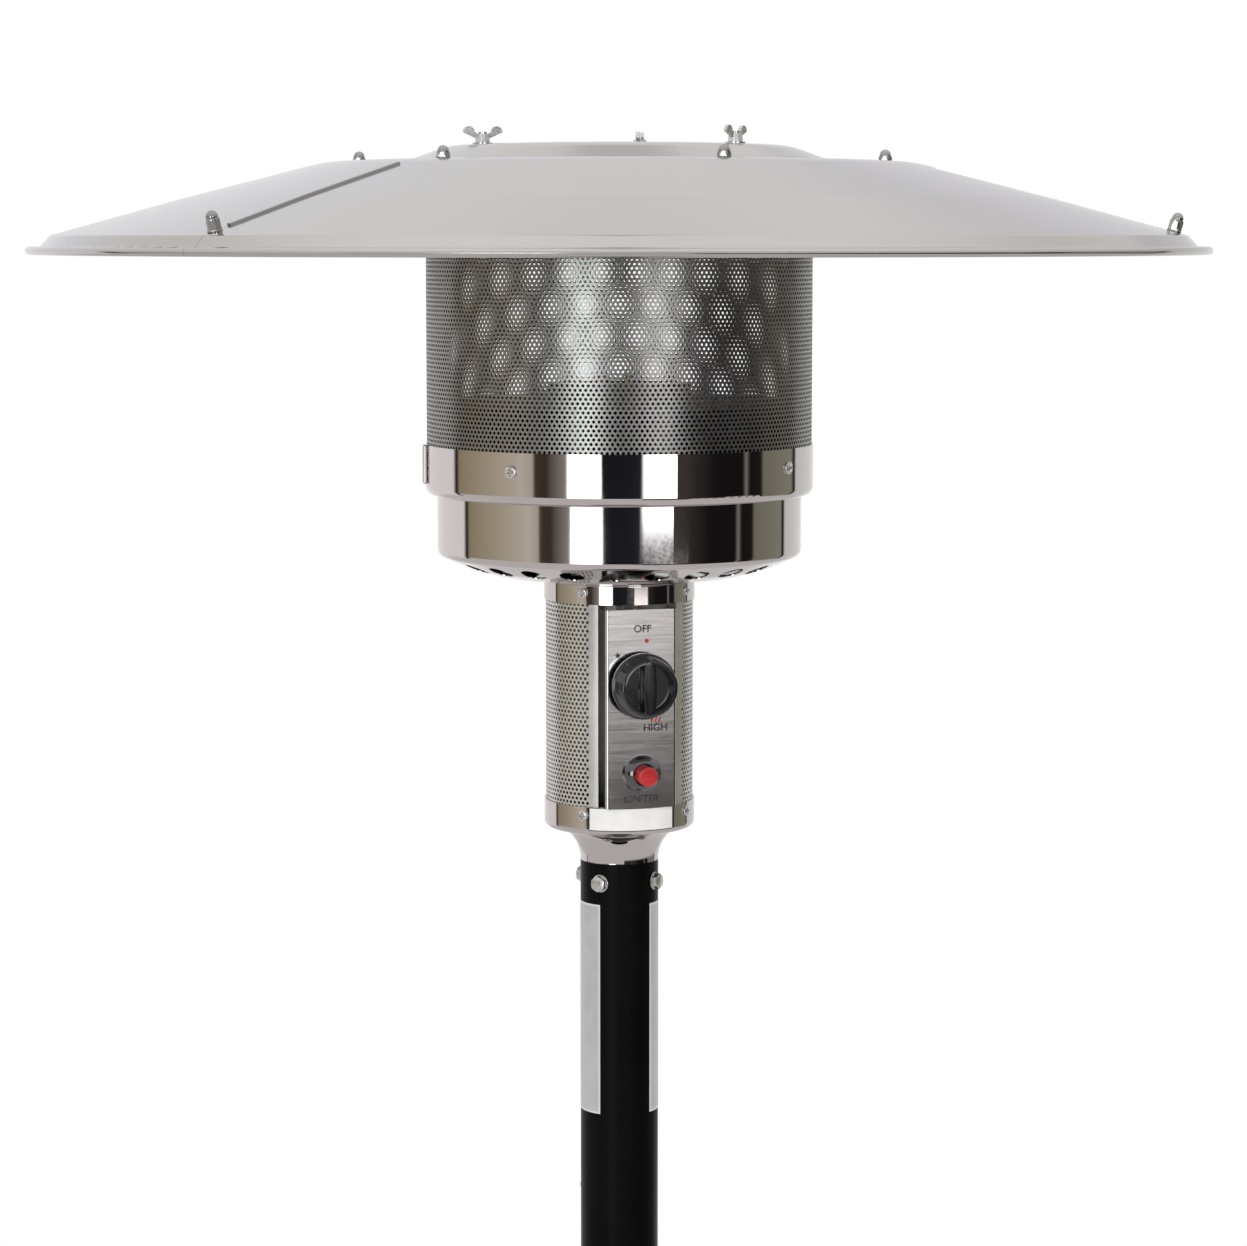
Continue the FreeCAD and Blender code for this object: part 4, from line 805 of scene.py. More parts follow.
@dataclass
class PerforatedWall:
    """A round wall of punched sheet, with plain margins."""

    name: str
    node: str
    radius: float
    sheet: float
    bottom: float
    top: float
    first_row: float
    start: float
    sweep: float
    margin: float
    hole: float
    stretches: Sequence[Pierced]

    def cell(self, pitch: float, row_step: float) -> bpy.types.Object:
        """One brick of sheet with an eight-sided hole through it.

        Args:
            pitch: The brick's width in millimetres.
            row_step: Its height.

        Returns:
            The form.
        """
        half, rise = pitch / 2.0, row_step / 2.0
        rim = [(half, 0.0), (half, rise), (0.0, rise), (-half, rise),
               (-half, 0.0), (-half, -rise), (0.0, -rise), (half, -rise)]
        reach = self.hole / 2.0 / math.cos(math.pi / 8.0)
        edge = [(reach * math.cos(math.pi / 4.0 * step), reach * math.sin(math.pi / 4.0 * step)) for step in range(8)]
        points = [(x * MM, y * MM, z * MM) for z in (0.0, -self.sheet) for x, y in rim + edge]
        faces = []
        for step in range(8):
            after = (step + 1) % 8
            faces.append((step, after, 8 + after, 8 + step))
            faces.append((24 + step, 24 + after, 16 + after, 16 + step))
            faces.append((8 + step, 8 + after, 24 + after, 24 + step))
        mesh = bpy.data.meshes.new("cell")
        mesh.from_pydata(points, [], faces)
        return Stock.keep("pierced_cell", mesh)

    def plain_cell(self, pitch: float, row_step: float) -> bpy.types.Object:
        """Half a brick of plain sheet that squares off a staggered row.

        Args:
            pitch: Width of a whole brick in millimetres.
            row_step: Its height.

        Returns:
            The form.
        """
        half, rise = pitch / 4.0, row_step / 2.0
        points = [(x * MM, y * MM, z * MM) for z in (0.0, -self.sheet)
                  for x, y in ((-half, -rise), (half, -rise), (half, rise), (-half, rise))]
        mesh = bpy.data.meshes.new("half")
        mesh.from_pydata(points, [], [(0, 1, 2, 3), (7, 6, 5, 4)])
        return Stock.keep("plain_half_cell", mesh)

    def strip(self, first: float, last: float, bottom: float, top: float) -> bpy.types.Mesh:
        """Plain curved strip of the wall.

        Args:
            first: Angle of one end in degrees.
            last: Angle of the other end.
            bottom: Lower edge in millimetres.
            top: Upper edge.

        Returns:
            The mesh.
        """
        steps = max(2, round(abs(last - first) / 2.0) + 1)
        points = []
        for step in range(steps):
            angle = math.radians(first + (last - first) * step / (steps - 1))
            for radius, height in ((self.radius, bottom), (self.radius, top),
                                   (self.radius - self.sheet, top), (self.radius - self.sheet, bottom)):
                points.append((radius * math.sin(angle) * MM, -radius * math.cos(angle) * MM, height * MM))
        faces: list[tuple[int, ...]] = list(ring_faces(steps, 4, False, True))
        faces += [(0, 1, 2, 3), tuple(range(4 * steps - 1, 4 * steps - 5, -1))]
        return mesh_of(points, faces)

    def build(self, tree: PerforationTree, material: bpy.types.Material) -> None:
        """Make the pierced pieces and the plain edges.

        Args:
            tree: The tree that repeats a cell.
            material: The wall's finish.
        """
        margin = math.degrees(self.margin / self.radius)
        end = self.start + self.sweep
        plain = [self.strip(self.start, end, self.bottom, self.first_row)]
        made = []
        edge = self.start
        for holes in self.stretches:
            opens, closes = holes.first + margin, holes.last - margin
            step = (closes - opens) / (holes.columns + 0.5)
            pitch = math.radians(step) * self.radius
            last_row = self.first_row + holes.rows * holes.row_step
            base = (self.first_row + holes.row_step / 2.0) * MM
            common = {"Radius": self.radius * MM, "Finish": material, "Pitch": pitch * MM}
            plain.append(self.strip(edge, opens, self.first_row, self.top))
            plain.append(self.strip(opens, closes, last_row, self.top))
            cell, half = self.cell(pitch, holes.row_step), self.plain_cell(pitch, holes.row_step)
            done = 0
            for piece in range(holes.pieces):
                columns = (holes.columns * (piece + 1)) // holes.pieces - done
                made.append(tree.grow(Cell=cell, Columns=columns, Rows=holes.rows, Stagger=0.5, Base=base,
                                      Turn=math.radians(opens + (done + 0.5) * step),
                                      Row_Step=holes.row_step * MM, **common))
                done += columns
            for turn, lift in ((opens + step / 4.0, 1.0), (closes - step / 4.0, 0.0)):
                plain.append(tree.grow(Cell=half, Columns=1, Rows=holes.rows // 2, Stagger=0.0,
                                       Base=base + lift * holes.row_step * MM, Turn=math.radians(turn),
                                       Row_Step=2.0 * holes.row_step * MM, **common))
            edge = closes
        plain.append(self.strip(edge, end, self.first_row, self.top))
        made[0] = joined([made[0], *plain])
        for number, mesh in enumerate(made, 1):
            mesh.materials.clear()
            mesh.materials.append(material)
            finished(f"{self.name}_{number}", mesh, "heater", [self.node])


@dataclass
class Fasteners:
    """Every screw, bolt, nut and rivet that shows."""

    tree: RingTree
    shelf: FinishShelf

    def ring(self, form: bpy.types.Object, count: int, circle: float, start: float, height: float,
             lean: float = 90.0, finish: Finish | None = None) -> bpy.types.Mesh:
        """One ring of fasteners.

        Args:
            form: The fastener, standing on the origin.
            count: How many.
            circle: Radius of their seats in millimetres.
            start: Angle of the first in degrees.
            height: Height of their seats in millimetres.
            lean: How far each leans outwards, in degrees.
            finish: Their finish, or None for the one that all hardware has.

        Returns:
            The mesh.
        """
        look = self.shelf.special(finish) if finish else self.shelf.take(Slot.HARDWARE)
        return self.tree.grow(Form=form, Count=count, Circle=circle * MM, Start=math.radians(start),
                              Height=height * MM, Lean=math.radians(lean), Finish=look)

    @staticmethod
    def pan_head(radius: float, height: float) -> bpy.types.Object:
        """Domed screw head with a cross recess.

        Args:
            radius: The head's radius in millimetres.
            height: Its height.

        Returns:
            The form.
        """
        outline = [(radius * share, height * (1.0 - 0.45 * share ** 2.6))
                   for share in (0.0, 0.08, 0.16, 0.24, 0.34, 0.46, 0.58, 0.70, 0.80, 0.88, 0.94, 0.98)]
        outline += [(radius, height * 0.46), (radius, height * 0.2), (radius * 0.99, 0.0)]
        arm, reach = radius * 0.13, radius * 0.6

        def recess(x: float, y: float, z: float) -> float:
            """Press the cross into the head."""
            slot = min(max(abs(x) / arm, abs(y) / reach), max(abs(y) / arm, abs(x) / reach))
            return z - height * 0.5 * (1.0 - step_up(slot, 0.8, 1.3)) if z > height * 0.5 else z

        return Stock.keep("pan_head", relief_form(outline, recess, None, 40))

    @staticmethod
    def hex_stack(flats: float, washer: float, washer_height: float, head: float,
                  cap: float = 0.0, neck: float = 0.0) -> bpy.types.Object:
        """Washer and chamfered hexagon, with a round cap where it is a dome nut.

        Args:
            flats: Width over the flats in millimetres.
            washer: Radius of the washer.
            washer_height: Thickness of the washer.
            head: Height of the hexagon.
            cap: Radius of the cap, or 0 for a bolt head.
            neck: Straight part below the cap.

        Returns:
            The form.
        """
        corner = flats / math.sqrt(3.0)
        top = washer_height + head

        def hexed(radius: float, angle: float) -> float:
            """Radius held inside the hexagon."""
            turn = (angle + math.pi / 6.0) % (math.pi / 3.0) - math.pi / 6.0
            return min(radius, flats / 2.0 / math.cos(turn))

        rows: list[tuple[float, float, bool]] = [(washer * 0.99, 0.0, False), (washer, washer_height * 0.15, False),
                                                 (washer, washer_height * 0.85, False),
                                                 (washer * 0.97, washer_height, False),
                                                 (corner, washer_height, True), (corner, top - head * 0.22, True),
                                                 (flats / 2.0 * 1.06, top - head * 0.05, True),
                                                 (flats / 2.0 * 0.94, top, True)]
        if cap > 0.0:
            rows += [(cap, top, False), (cap, top + neck, False)]
            rows += [(cap * math.cos(math.radians(a)), top + neck + cap * math.sin(math.radians(a)), False)
                     for a in (15, 30, 45, 58, 70, 80, 86)]
        segments = 48
        points = []
        for radius, height, hexagonal in rows:
            for step in range(segments):
                angle = FULL_TURN * step / segments
                reach = hexed(radius, angle) if hexagonal else radius
                points.append((reach * math.cos(angle) * MM, reach * math.sin(angle) * MM, height * MM))
        faces: list[tuple[int, ...]] = list(ring_faces(len(rows), segments, False, True))
        last = (len(rows) - 1) * segments
        faces += [tuple(range(segments)), tuple(range(last, last + segments))]
        return Stock.keep("hex_stack", mesh_of(points, faces))

    def build(self) -> None:
        """Set every visible fastener."""
        band = self.pan_head(4.4, 2.2)
        finished("band_screw_heads", self.ring(band, 4, 135.2, 41.25, 1978.0), "heater", ["band_screws"])
        small = self.pan_head(3.6, 2.0)
        rows = [self.ring(small, 4, 52.8, 45.0, 1735.0), self.ring(small, 4, 52.8, 45.0, 1890.0)]
        finished("housing_screw_heads", joined(rows), "heater", ["housing_screws"])
        low_nut, high_nut = (self.hex_stack(8.0, 4.9, 1.0, head, 3.9, 0.6) for head in (2.9, 7.4))
        rows = [self.ring(low_nut, 6, 184.0, 5.0, 2184.5, 0.0, NUT_FINISH),
                self.ring(high_nut, 3, 380.0, 63.0, 2137.15, 15.6, NUT_FINISH)]
        finished("hood_dome_nuts", joined(rows), "heater", ["dome_nuts"])
        bolt = self.hex_stack(10.0, 6.2, 1.0, 4.0)
        finished("collar_bolt_heads", self.ring(bolt, 4, 27.5, 45.0, 1683.0), "heater", ["post_bolts"])
        rivet = self.pan_head(4.0, 1.6)
        finished("housing_rivet_heads", self.ring(rivet, 6, 201.0, 30.0, 623.3), "tank_housing",
                 ["tank_rivets"])


@dataclass
class ControlKnob:
    """Black knob with a grip bar between two scooped pockets."""

    skirt: float = 23.0
    drum: float = 21.4
    face: float = 19.8
    depth: float = 17.0
    flange: float = 4.0
    grip: float = 3.0
    recess: float = 12.0
    recess_depth: float = 8.5
    bore: float = 4.15
    bore_depth: float = 14.6
    back: float = 58.6
    height: float = 1826.7

    def build(self, shelf: FinishShelf) -> None:
        """Make the knob and let it ride on its own body."""
        steps = [(self.face - 0.6) * share / 60.0 for share in range(60)]
        outline = [(radius, self.depth) for radius in steps]
        outline += [(self.face - 0.3, self.depth), (self.face, self.depth - 1.2),
                    (self.drum, self.flange + 0.8), (self.drum + 0.3, self.flange + 0.2),
                    (self.skirt - 0.8, self.flange), (self.skirt - 0.2, self.flange - 0.25),
                    (self.skirt, self.flange - 0.9), (self.skirt, 0.6), (self.skirt - 0.4, 0.0), (self.recess, 0.0),
                    (self.recess, self.recess_depth), (self.bore, self.recess_depth), (self.bore, self.bore_depth)]

        def pockets(x: float, y: float, z: float) -> float:
            """Press a pocket into each side of the bar."""
            if z < self.depth - 0.3:
                return z
            radius = math.hypot(x, y)
            bow = self.grip + 1.4 * (1.0 - (y / self.face) ** 2)
            beside = step_up(abs(x), bow, bow + 1.6)
            inside = 1.0 - step_up(radius, self.face - 4.2, self.face - 2.8)
            crown = 0.35 * min(1.0, (x / bow) ** 2) + 0.55 * max(0.0, (radius - self.face + 2.8) / 2.8) ** 2
            return z - crown - 7.0 * beside * inside

        mesh = relief_form(outline, pockets, shelf.take(Slot.KNOB), 300)
        mesh.transform(facing_front(self.back, self.height))
        finished("knob_moulding", mesh, "control_knob", ["control_knob"], 50.0)


class Print(Enum):
    """Inks on the panel."""

    BLACK = (0.012, 0.011, 0.011)
    RED = (0.42, 0.018, 0.020)


@dataclass
class PanelPrint:
    """Lettering and marks on the control panel."""

    front: float = 53.6
    ink: float = 0.06

    @staticmethod
    def inks() -> dict[Print, bpy.types.Material]:
        """Make the inks."""
        made = {}
        for tone in Print:
            shade = tuple(channel * 1.5 for channel in tone.value)
            made[tone] = MouldedFinish(f"{tone.name.lower()}_panel_ink", tone.value, shade, (0.35, 0.5),
                                       skin_scale=2500.0, skin_depth=2.0e-6, cloud_scale=400.0).material()
        return made

    def word(self, text: str, size: float, x: float, height: float) -> bpy.types.Mesh:
        """One printed word.

        Args:
            text: The word.
            size: Height of its capitals in millimetres.
            x: Where its middle is across the panel.
            height: Where its middle is above the floor.

        Returns:
            The mesh.
        """
        curve = bpy.data.curves.new(text, "FONT")
        curve.body = text
        curve.align_x = "CENTER"
        curve.align_y = "CENTER"
        curve.size = size / 0.72 * MM
        curve.extrude = self.ink / 2.0 * MM
        curve.offset = 0.1 * MM
        curve.resolution_u = 4
        holder = bpy.data.objects.new(text, curve)
        mesh = bpy.data.meshes.new_from_object(holder)
        bpy.data.objects.remove(holder)
        mesh.materials.clear()
        mesh.transform(Matrix.Translation((x * MM, 0.0, 0.0)) @ facing_front(self.front + self.ink / 2.0, height))
        return mesh

    def blot(self, corners: Sequence[tuple[float, float]]) -> bpy.types.Mesh:
        """One flat printed shape.

        Args:
            corners: Its corners across the panel and above the floor, in millimetres.

        Returns:
            The mesh.
        """
        count = len(corners)
        points = [(x * MM, -(self.front + lift) * MM, z * MM) for lift in (0.0, self.ink) for x, z in corners]
        faces: list[tuple[int, ...]] = [tuple(range(count)), tuple(range(2 * count - 1, count - 1, -1))]
        faces += [(step, (step + 1) % count, count + (step + 1) % count, count + step) for step in range(count)]
        return mesh_of(points, faces)

    def build(self) -> None:
        """Print the panel."""
        inks = self.inks()
        black = [self.word("OFF", 5.2, 0.8, 1865.6), self.word("HIGH", 5.2, 10.1, 1796.8),
                 self.word("IGNITER", 5.0, -0.2, 1747.3)]
        star = []
        for step in range(10):
            reach = 2.6 if step % 2 == 0 else 1.1
            angle = FULL_TURN * step / 10.0 + QUARTER_TURN
            star.append((-17.0 + reach * math.cos(angle), 1847.6 + reach * math.sin(angle)))
        black.append(self.blot(star))
        dot = [(3.8 + 1.5 * math.cos(FULL_TURN * step / 24.0), 1857.3 + 1.5 * math.sin(FULL_TURN * step / 24.0))
               for step in range(24)]
        red = [self.blot(dot)]
        for offset in (-2.6, 0.0, 2.6):
            x = 10.2 + offset
            red.append(self.blot([(x - 0.9, 1800.8), (x + 0.3, 1800.8), (x + 1.0, 1804.2), (x + 0.2, 1804.6)]))
        for name, tone, meshes in (("panel_lettering", Print.BLACK, black), ("panel_red_marks", Print.RED, red)):
            mesh = joined(meshes)
            mesh.materials.clear()
            mesh.materials.append(inks[tone])
            finished(name, mesh, "heater")


@dataclass
class CurvedLabel:
    """A thin blank label stuck round a cylinder."""

    name: str
    radius: float
    first: float
    last: float
    bottom: float
    top: float
    colour: Colour
    edge: Colour
    border: float
    metallic: float
    thick: float = 0.12

    def material(self) -> bpy.types.Material:
        """Paper or foil with a printed border, on the label's own map."""
        material, board, shader = new_material(self.name + "_stock")
        coords = board.add("ShaderNodeTexCoord")
        u, v, _ = board.parts(coords.outputs["UV"])
        width = math.radians(self.last - self.first) * self.radius
        tall = self.top - self.bottom
        near_side = board.math("MULTIPLY", board.math("MINIMUM", u, board.math("SUBTRACT", 1.0, u)), width)
        near_end = board.math("MULTIPLY", board.math("MINIMUM", v, board.math("SUBTRACT", 1.0, v)), tall)
        inset = board.math("MINIMUM", near_side, near_end)
        line = board.span(inset, 1.0, 0.0, self.border, self.border * 1.25)
        clouds = board.noise(coords.outputs["Object"], 70.0, 4.0)
        worn = tuple(channel * 0.9 for channel in self.colour)
        face = board.blend(board.span(clouds, 0.0, 1.0), worn, self.colour)
        board.put(shader, "Base Color", board.blend(line, face, self.edge))
        board.put(shader, "Roughness", board.span(clouds, 0.28, 0.45))
        board.put(shader, "Normal", board.bump(board.noise(coords.outputs["Object"], 260.0, 2.0), 1.2e-5))
        shader.inputs["Metallic"].default_value = self.metallic
        return material

    def build(self) -> None:
        """Stick the label on."""
        steps = 40
        points, spots = [], []
        outer, inner = self.radius + self.thick, self.radius + 0.01
        for step in range(steps + 1):
            share = step / steps
            angle = math.radians(self.first + (self.last - self.first) * share)
            for radius, height, v in ((outer, self.bottom, 0.0), (outer, self.top, 1.0),
                                      (inner, self.top, 1.0), (inner, self.bottom, 0.0)):
                points.append((radius * math.sin(angle) * MM, -radius * math.cos(angle) * MM, height * MM))
                spots.append((share, v))
        faces: list[tuple[int, ...]] = list(ring_faces(steps + 1, 4, False, True))
        faces += [(0, 1, 2, 3), tuple(range(4 * steps + 3, 4 * steps - 1, -1))]
        mesh = mesh_of(points, faces, self.material())
        layer = mesh.uv_layers.new(name="label")
        place = {tuple(round(c, 6) for c in point): spot for point, spot in zip(points, spots)}
        for loop in mesh.loops:
            key = tuple(round(c, 6) for c in mesh.vertices[loop.vertex_index].co)
            layer.data[loop.index].uv = place[key]
        finished(self.name, mesh, "heater")


@dataclass(frozen=True)
class StudioBand:
    """A stretch of the studio's wall, by angle from the camera, as it is seen in chrome."""

    first: float
    last: float
    start: tuple[float, float, float]
    end: tuple[float, float, float]
    glow: float = 1.0


@dataclass
class Studio:
    """White studio with two soft boxes and dark stands, its lamps, its floor and its camera."""

    camera_turn: float = -16.5
    camera_distance: float = 2.414
    camera_height: float = 2.134
    camera_pitch: float = -6.3815
    lens: float = 99.86
    aim_shift: float = -4.2
    chrome: Colour = (0.57, 0.53, 0.525)

    def bands(self) -> list[StudioBand]:
        """The wall of the studio, left to right."""
        return [
            StudioBand(-180.0, -115.0, (192, 184, 183), (200, 191, 190)),
            StudioBand(-113.0, -111.0, (24, 22, 20), (24, 22, 20)),
            StudioBand(-109.0, -85.0, (126, 114, 94), (137, 126, 106)),
            StudioBand(-82.0, -62.0, (150, 138, 120), (168, 156, 144)),
            StudioBand(-60.0, -52.0, (172, 162, 152), (158, 146, 134)),
            StudioBand(-50.5, -43.0, (58, 48, 40), (50, 42, 36)),
            StudioBand(-41.5, -31.0, (72, 64, 60), (124, 116, 112)),
            StudioBand(-29.5, -11.5, (255, 255, 255), (255, 255, 255), 2.6),
            StudioBand(-10.0, 13.5, (20, 19, 23), (28, 27, 31)),
            StudioBand(15.0, 32.0, (255, 250, 251), (255, 251, 252), 2.4),
            StudioBand(33.5, 56.0, (56, 50, 48), (44, 40, 39)),
            StudioBand(58.0, 78.0, (20, 18, 18), (18, 16, 16)),
            StudioBand(79.5, 80.5, (110, 104, 98), (110, 104, 98)),
            StudioBand(82.0, 92.0, (20, 18, 18), (26, 24, 22)),
            StudioBand(94.0, 123.0, (104, 100, 88), (118, 114, 102)),
            StudioBand(124.5, 126.5, (22, 20, 20), (22, 20, 20)),
            StudioBand(128.5, 180.0, (180, 175, 171), (190, 184, 182)),
        ]

    def stops(self) -> list[tuple[float, tuple[float, float, float, float]]]:
        """Each band's ends as an angle and the light that chrome mirrors as its colour."""
        found = []
        for band in self.bands():
            for degrees, shown in ((band.first, band.start), (band.last, band.end)):
                light = [band.glow * channel / mirror for channel, mirror in zip(srgb(*shown), self.chrome)]
                found.append((degrees, (*light, 1.0)))
        return found

    def world(self) -> None:
        """Build the studio's walls, floor and ceiling as the world."""
        world = bpy.data.worlds.new("studio")
        bpy.context.scene.world = world
        world.use_nodes = True
        tree = world.node_tree
        tree.nodes.clear()
        board = Board(tree)
        x, y, z = board.parts(board.add("ShaderNodeTexCoord").outputs["Generated"])
        angle = board.math("ARCTAN2", x, board.math("MULTIPLY", y, -1.0))
        turned = board.math("WRAP", board.math("SUBTRACT", angle, math.radians(self.camera_turn)), math.pi, -math.pi)
        share = board.math("ADD", board.math("DIVIDE", turned, FULL_TURN), 0.5)
        ramp = board.add("ShaderNodeValToRGB")
        board.put(ramp, 0, share)
        stops = ramp.color_ramp.elements
        ends = self.thinned(self.stops())
        stops[1].position = 1.0
        stops[0].color = ends[0][1]
        stops[1].color = ends[-1][1]
        for degrees, light in ends[1:-1]:
            stops.new(degrees / 360.0 + 0.5).color = light
        beside = board.math("MULTIPLY", board.math("GREATER_THAN", turned, math.radians(13.0)),
                            board.math("LESS_THAN", turned, math.radians(34.0)))
        below = board.math("MULTIPLY", beside, board.span(z, 1.0, 0.0, -0.0880, -0.0795))
        shown = board.blend(below, ramp.outputs[0], (0.035, 0.032, 0.032))
        aside = board.math("MULTIPLY", board.math("GREATER_THAN", turned, math.radians(23.0)),
                           board.math("LESS_THAN", turned, math.radians(44.0)))
        lower = board.math("MULTIPLY", aside, board.math("MULTIPLY", board.span(z, 0.0, 1.0, -0.119, -0.110),
                                                         board.span(z, 1.0, 0.0, -0.106, -0.102)))
        shown = board.blend(lower, shown, (3.2, 3.08, 3.04))
        right = board.span(board.math("SINE", turned), 0.0, 1.0, -0.35, 0.35)
        back = board.blend(right, (0.92, 0.92, 0.96), (0.74, 0.73, 0.755))
        sky = board.blend(board.span(z, 0.0, 1.0, 0.36, 0.48), back, (0.96, 0.945, 0.93))
        sky = board.blend(board.span(z, 0.0, 1.0, 0.62, 0.95), sky, (1.2, 1.19, 1.19))
        behind = board.math("MULTIPLY", board.math("LESS_THAN", board.math("COSINE", turned), 0.0),
                            board.span(board.math("ABSOLUTE", board.math("SINE", turned)), 1.0, 0.0, 0.05, 0.11))
        patch = board.math("MULTIPLY", behind, board.span(z, 0.0, 1.0, 0.53, 0.57))
        sky = board.blend(patch, sky, (0.74, 0.715, 0.70))
        walls = board.blend(board.span(z, 0.0, 1.0, 0.06, 0.16), shown, sky)
        walls = board.blend(board.span(z, 1.0, 0.0, -0.42, -0.30), walls, (0.72, 0.705, 0.70))
        left_low = board.math("MULTIPLY", board.math("LESS_THAN", turned, math.radians(14.0)),
                              board.math("MULTIPLY", board.math("GREATER_THAN", turned, math.radians(-110.0)),
                                         board.span(z, 1.0, 0.0, -0.186, -0.176)))
        walls = board.blend(left_low, walls, (0.72, 0.705, 0.70))
        light = board.add("ShaderNodeBackground")
        board.put(light, "Color", walls)
        white = board.add("ShaderNodeBackground")
        paths = board.add("ShaderNodeLightPath")
        mix = board.add("ShaderNodeMixShader")
        board.put(white, "Color", (1.0, 1.0, 1.0, 1.0))
        board.put(mix, 0, paths.outputs["Is Camera Ray"])
        board.put(mix, 1, light.outputs[0])
        board.put(mix, 2, white.outputs[0])
        board.put(board.add("ShaderNodeOutputWorld"), "Surface", mix.outputs[0])

    @staticmethod
    def thinned(ends: list[tuple[float, tuple[float, ...]]]) -> list[tuple[float, tuple[float, ...]]]:
        """Keep at most the 32 stops that a ramp holds, dropping the ones with the least change."""
        kept = list(ends)
        while len(kept) > 32:
            loss = [(abs(sum(kept[i][1]) - (sum(kept[i - 1][1]) + sum(kept[i + 1][1])) / 2.0), i)
                    for i in range(1, len(kept) - 1)]
            del kept[min(loss)[1]]
        return kept

    def lamp(self, name: str, place: tuple[float, float, float], target: tuple[float, float, float],
             size: float, power: float) -> None:
        """Hang one soft lamp.

        Args:
            name: The lamp's name.
            place: Where it hangs.
            target: What it points at.
            size: Side of its square face in metres.
            power: Its power in watts.
        """
        data = bpy.data.lights.new(name, "AREA")
        data.size = size
        data.energy = power
        lamp = bpy.data.objects.new(name, data)
        bpy.context.scene.collection.objects.link(lamp)
        lamp.location = place
        lamp.rotation_euler = (Vector(target) - Vector(place)).to_track_quat("-Z", "Y").to_euler()
        lamp.visible_glossy = False
        lamp.visible_camera = False

    def floor(self) -> None:
        """Lay the pale floor, which fades to white far from the heater."""
        reach, steps = 14.0, 48
        points = [(0.0, 0.0, -0.0005)]
        for ring in (1.5, 5.0, reach):
            points += [(ring * math.cos(FULL_TURN * step / steps), ring * math.sin(FULL_TURN * step / steps), -0.0005)
                       for step in range(steps)]
        faces: list[tuple[int, ...]] = [(0, 1 + step, 1 + (step + 1) % steps) for step in range(steps)]
        for ring in range(2):
            first, second = 1 + ring * steps, 1 + (ring + 1) * steps
            faces += [(first + step, second + step, second + (step + 1) % steps, first + (step + 1) % steps)
                      for step in range(steps)]
        material, board, shader = new_material("studio_floor")
        place = board.add("ShaderNodeTexCoord").outputs["Object"]
        clouds = board.noise(place, 3.0, 3.0)
        board.put(shader, "Base Color", board.blend(clouds, (0.86, 0.86, 0.855), (0.90, 0.90, 0.895)))
        shader.inputs["Roughness"].default_value = 0.85
        length = board.add("ShaderNodeVectorMath", operation="LENGTH")
        board.put(length, 0, place)
        far = board.span(length.outputs["Value"], 0.0, 1.0, 1.2, 4.5)
        glow = board.add("ShaderNodeEmission")
        mix = board.add("ShaderNodeMixShader")
        paths = board.add("ShaderNodeLightPath")
        board.put(mix, 0, board.math("MULTIPLY", far, paths.outputs["Is Camera Ray"]))
        board.put(mix, 1, shader.outputs[0])
        board.put(mix, 2, glow.outputs[0])
        output = next(node for node in material.node_tree.nodes if node.type == "OUTPUT_MATERIAL")
        board.put(output, "Surface", mix.outputs[0])
        floor = bpy.data.objects.new("studio_floor", mesh_of(points, faces, material))
        bpy.context.scene.collection.objects.link(floor)
        floor.visible_glossy = False

    def camera(self) -> None:
        """Stand the camera where the picture was taken from."""
        data = bpy.data.cameras.new("camera")
        data.sensor_width = 36.0
        data.lens = self.lens
        data.clip_end = 100.0
        camera = bpy.data.objects.new("camera", data)
        bpy.context.scene.collection.objects.link(camera)
        turn = math.radians(self.camera_turn)
        camera.location = (self.camera_distance * math.sin(turn), -self.camera_distance * math.cos(turn),
                           self.camera_height)
        yaw = math.atan(self.aim_shift / 1247.0 * 36.0 / self.lens)
        camera.rotation_euler = (QUARTER_TURN + math.radians(self.camera_pitch), 0.0, turn + yaw)
        bpy.context.scene.camera = camera

    def build(self) -> None:
        """Set up the studio."""
        self.world()
        self.lamp("top_lamp", (0.3, -0.6, 4.4), (0.0, 0.0, 1.6), 2.4, 22.0)
        self.lamp("left_lamp", (-2.6, -2.6, 2.6), (0.0, 0.0, 1.5), 1.6, 22.0)
        self.lamp("right_lamp", (2.4, -2.4, 2.4), (0.0, 0.0, 1.5), 1.6, 14.0)
        self.floor()
        self.camera()
        bpy.context.scene.view_settings.view_transform = "Standard"


def main() -> None:
    """Dress the heater and set up the studio."""
    logging.basicConfig(level=logging.INFO, format="%(message)s")
    shelf = FinishShelf()
    shelf.dress_solids()
    walls = PerforationTree()
    PerforatedWall("emitter_wall", "emitter_screen", 134.1, 0.8, 1961.6, 2159.0, 1984.0, -106.5, 360.0, 1.0, 2.1, (
        Pierced(-106.5, 73.5, 117, 56, 2.97, 2), Pierced(73.5, 253.5, 121, 56, 2.906, 2),
    )).build(walls, shelf.special(EMITTER_FINISH))
    PerforatedWall("housing_wall", "housing_wrap", 51.6, 0.8, 1729.5, 1893.5, 1739.0, 33.0, 294.0, 6.2, 2.1, (
        Pierced(33.0, 118.0, 18, 48, 3.0), Pierced(242.0, 327.0, 18, 48, 3.0),
    )).build(walls, shelf.take(Slot.SCREEN))
    Fasteners(RingTree(), shelf).build()
    ControlKnob().build(shelf)
    PanelPrint().build()
    CurvedLabel("cap_label", 52.8, -40.0, 28.0, 1724.6, 1740.9, (0.80, 0.79, 0.78), (0.02, 0.02, 0.02), 0.5,
                0.0).build()
    CurvedLabel("post_label_left", 27.5, -126.0, -46.0, 1517.6, 1667.5, (0.43, 0.428, 0.425), (0.58, 0.58, 0.58), 1.2,
                0.0).build()
    CurvedLabel("post_label_right", 27.5, 34.0, 114.0, 1517.6, 1667.5, (0.43, 0.428, 0.425), (0.58, 0.58, 0.58), 1.2,
                0.0).build()
    Studio().build()


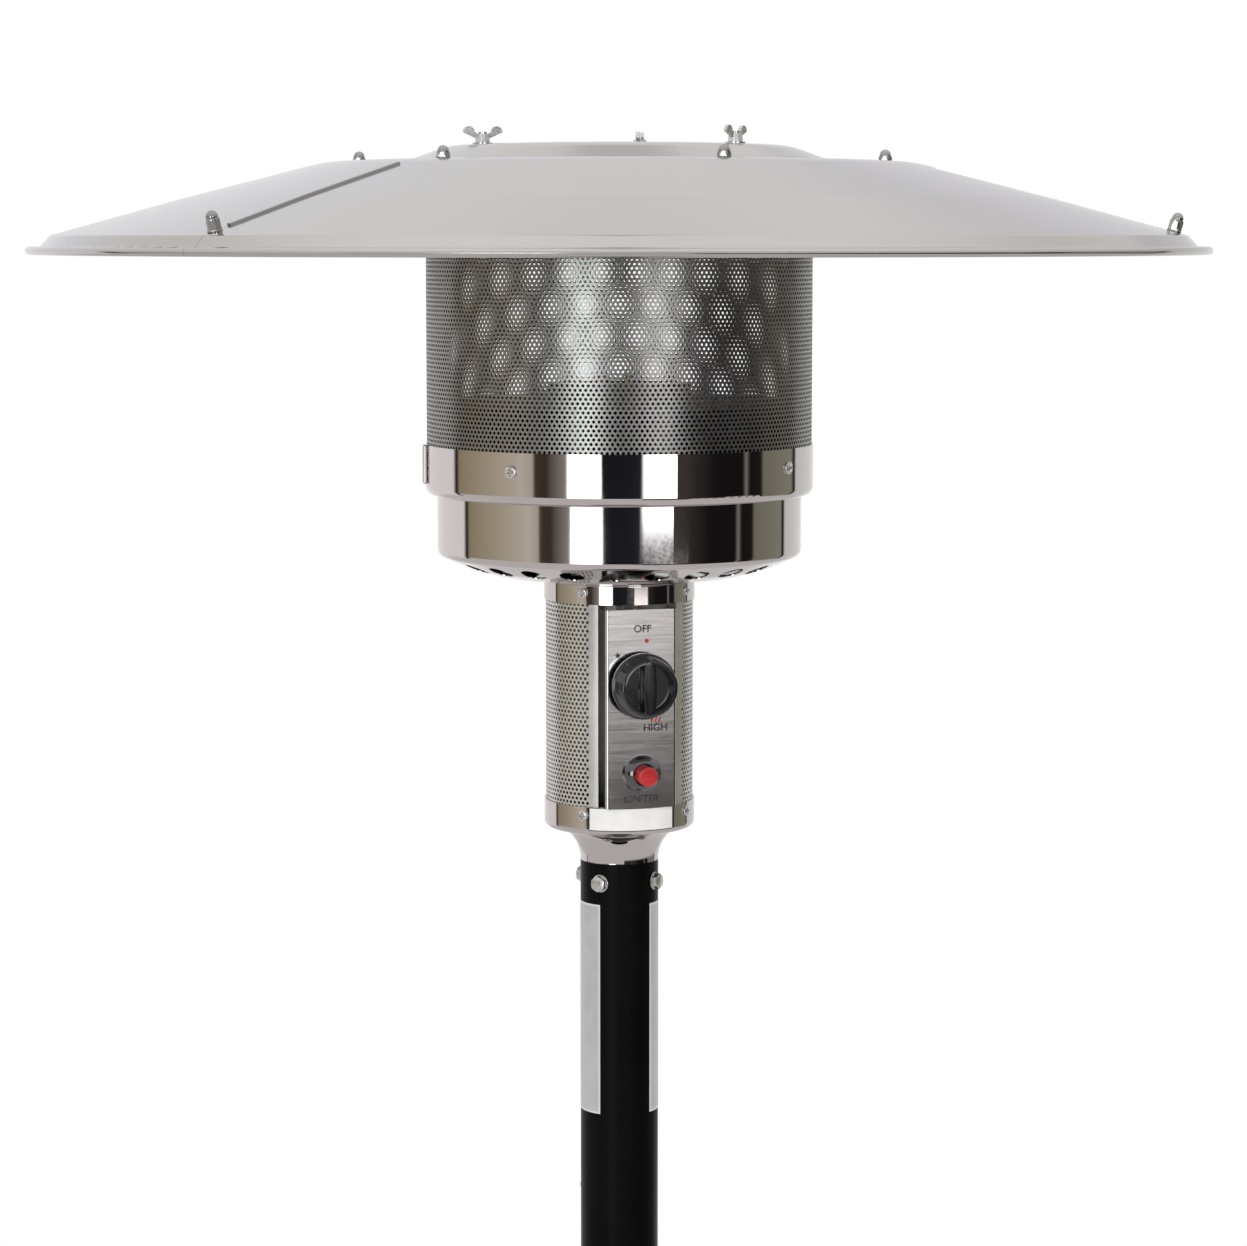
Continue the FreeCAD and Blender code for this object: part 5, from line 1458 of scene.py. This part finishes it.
if __name__ == "__main__":
    main()
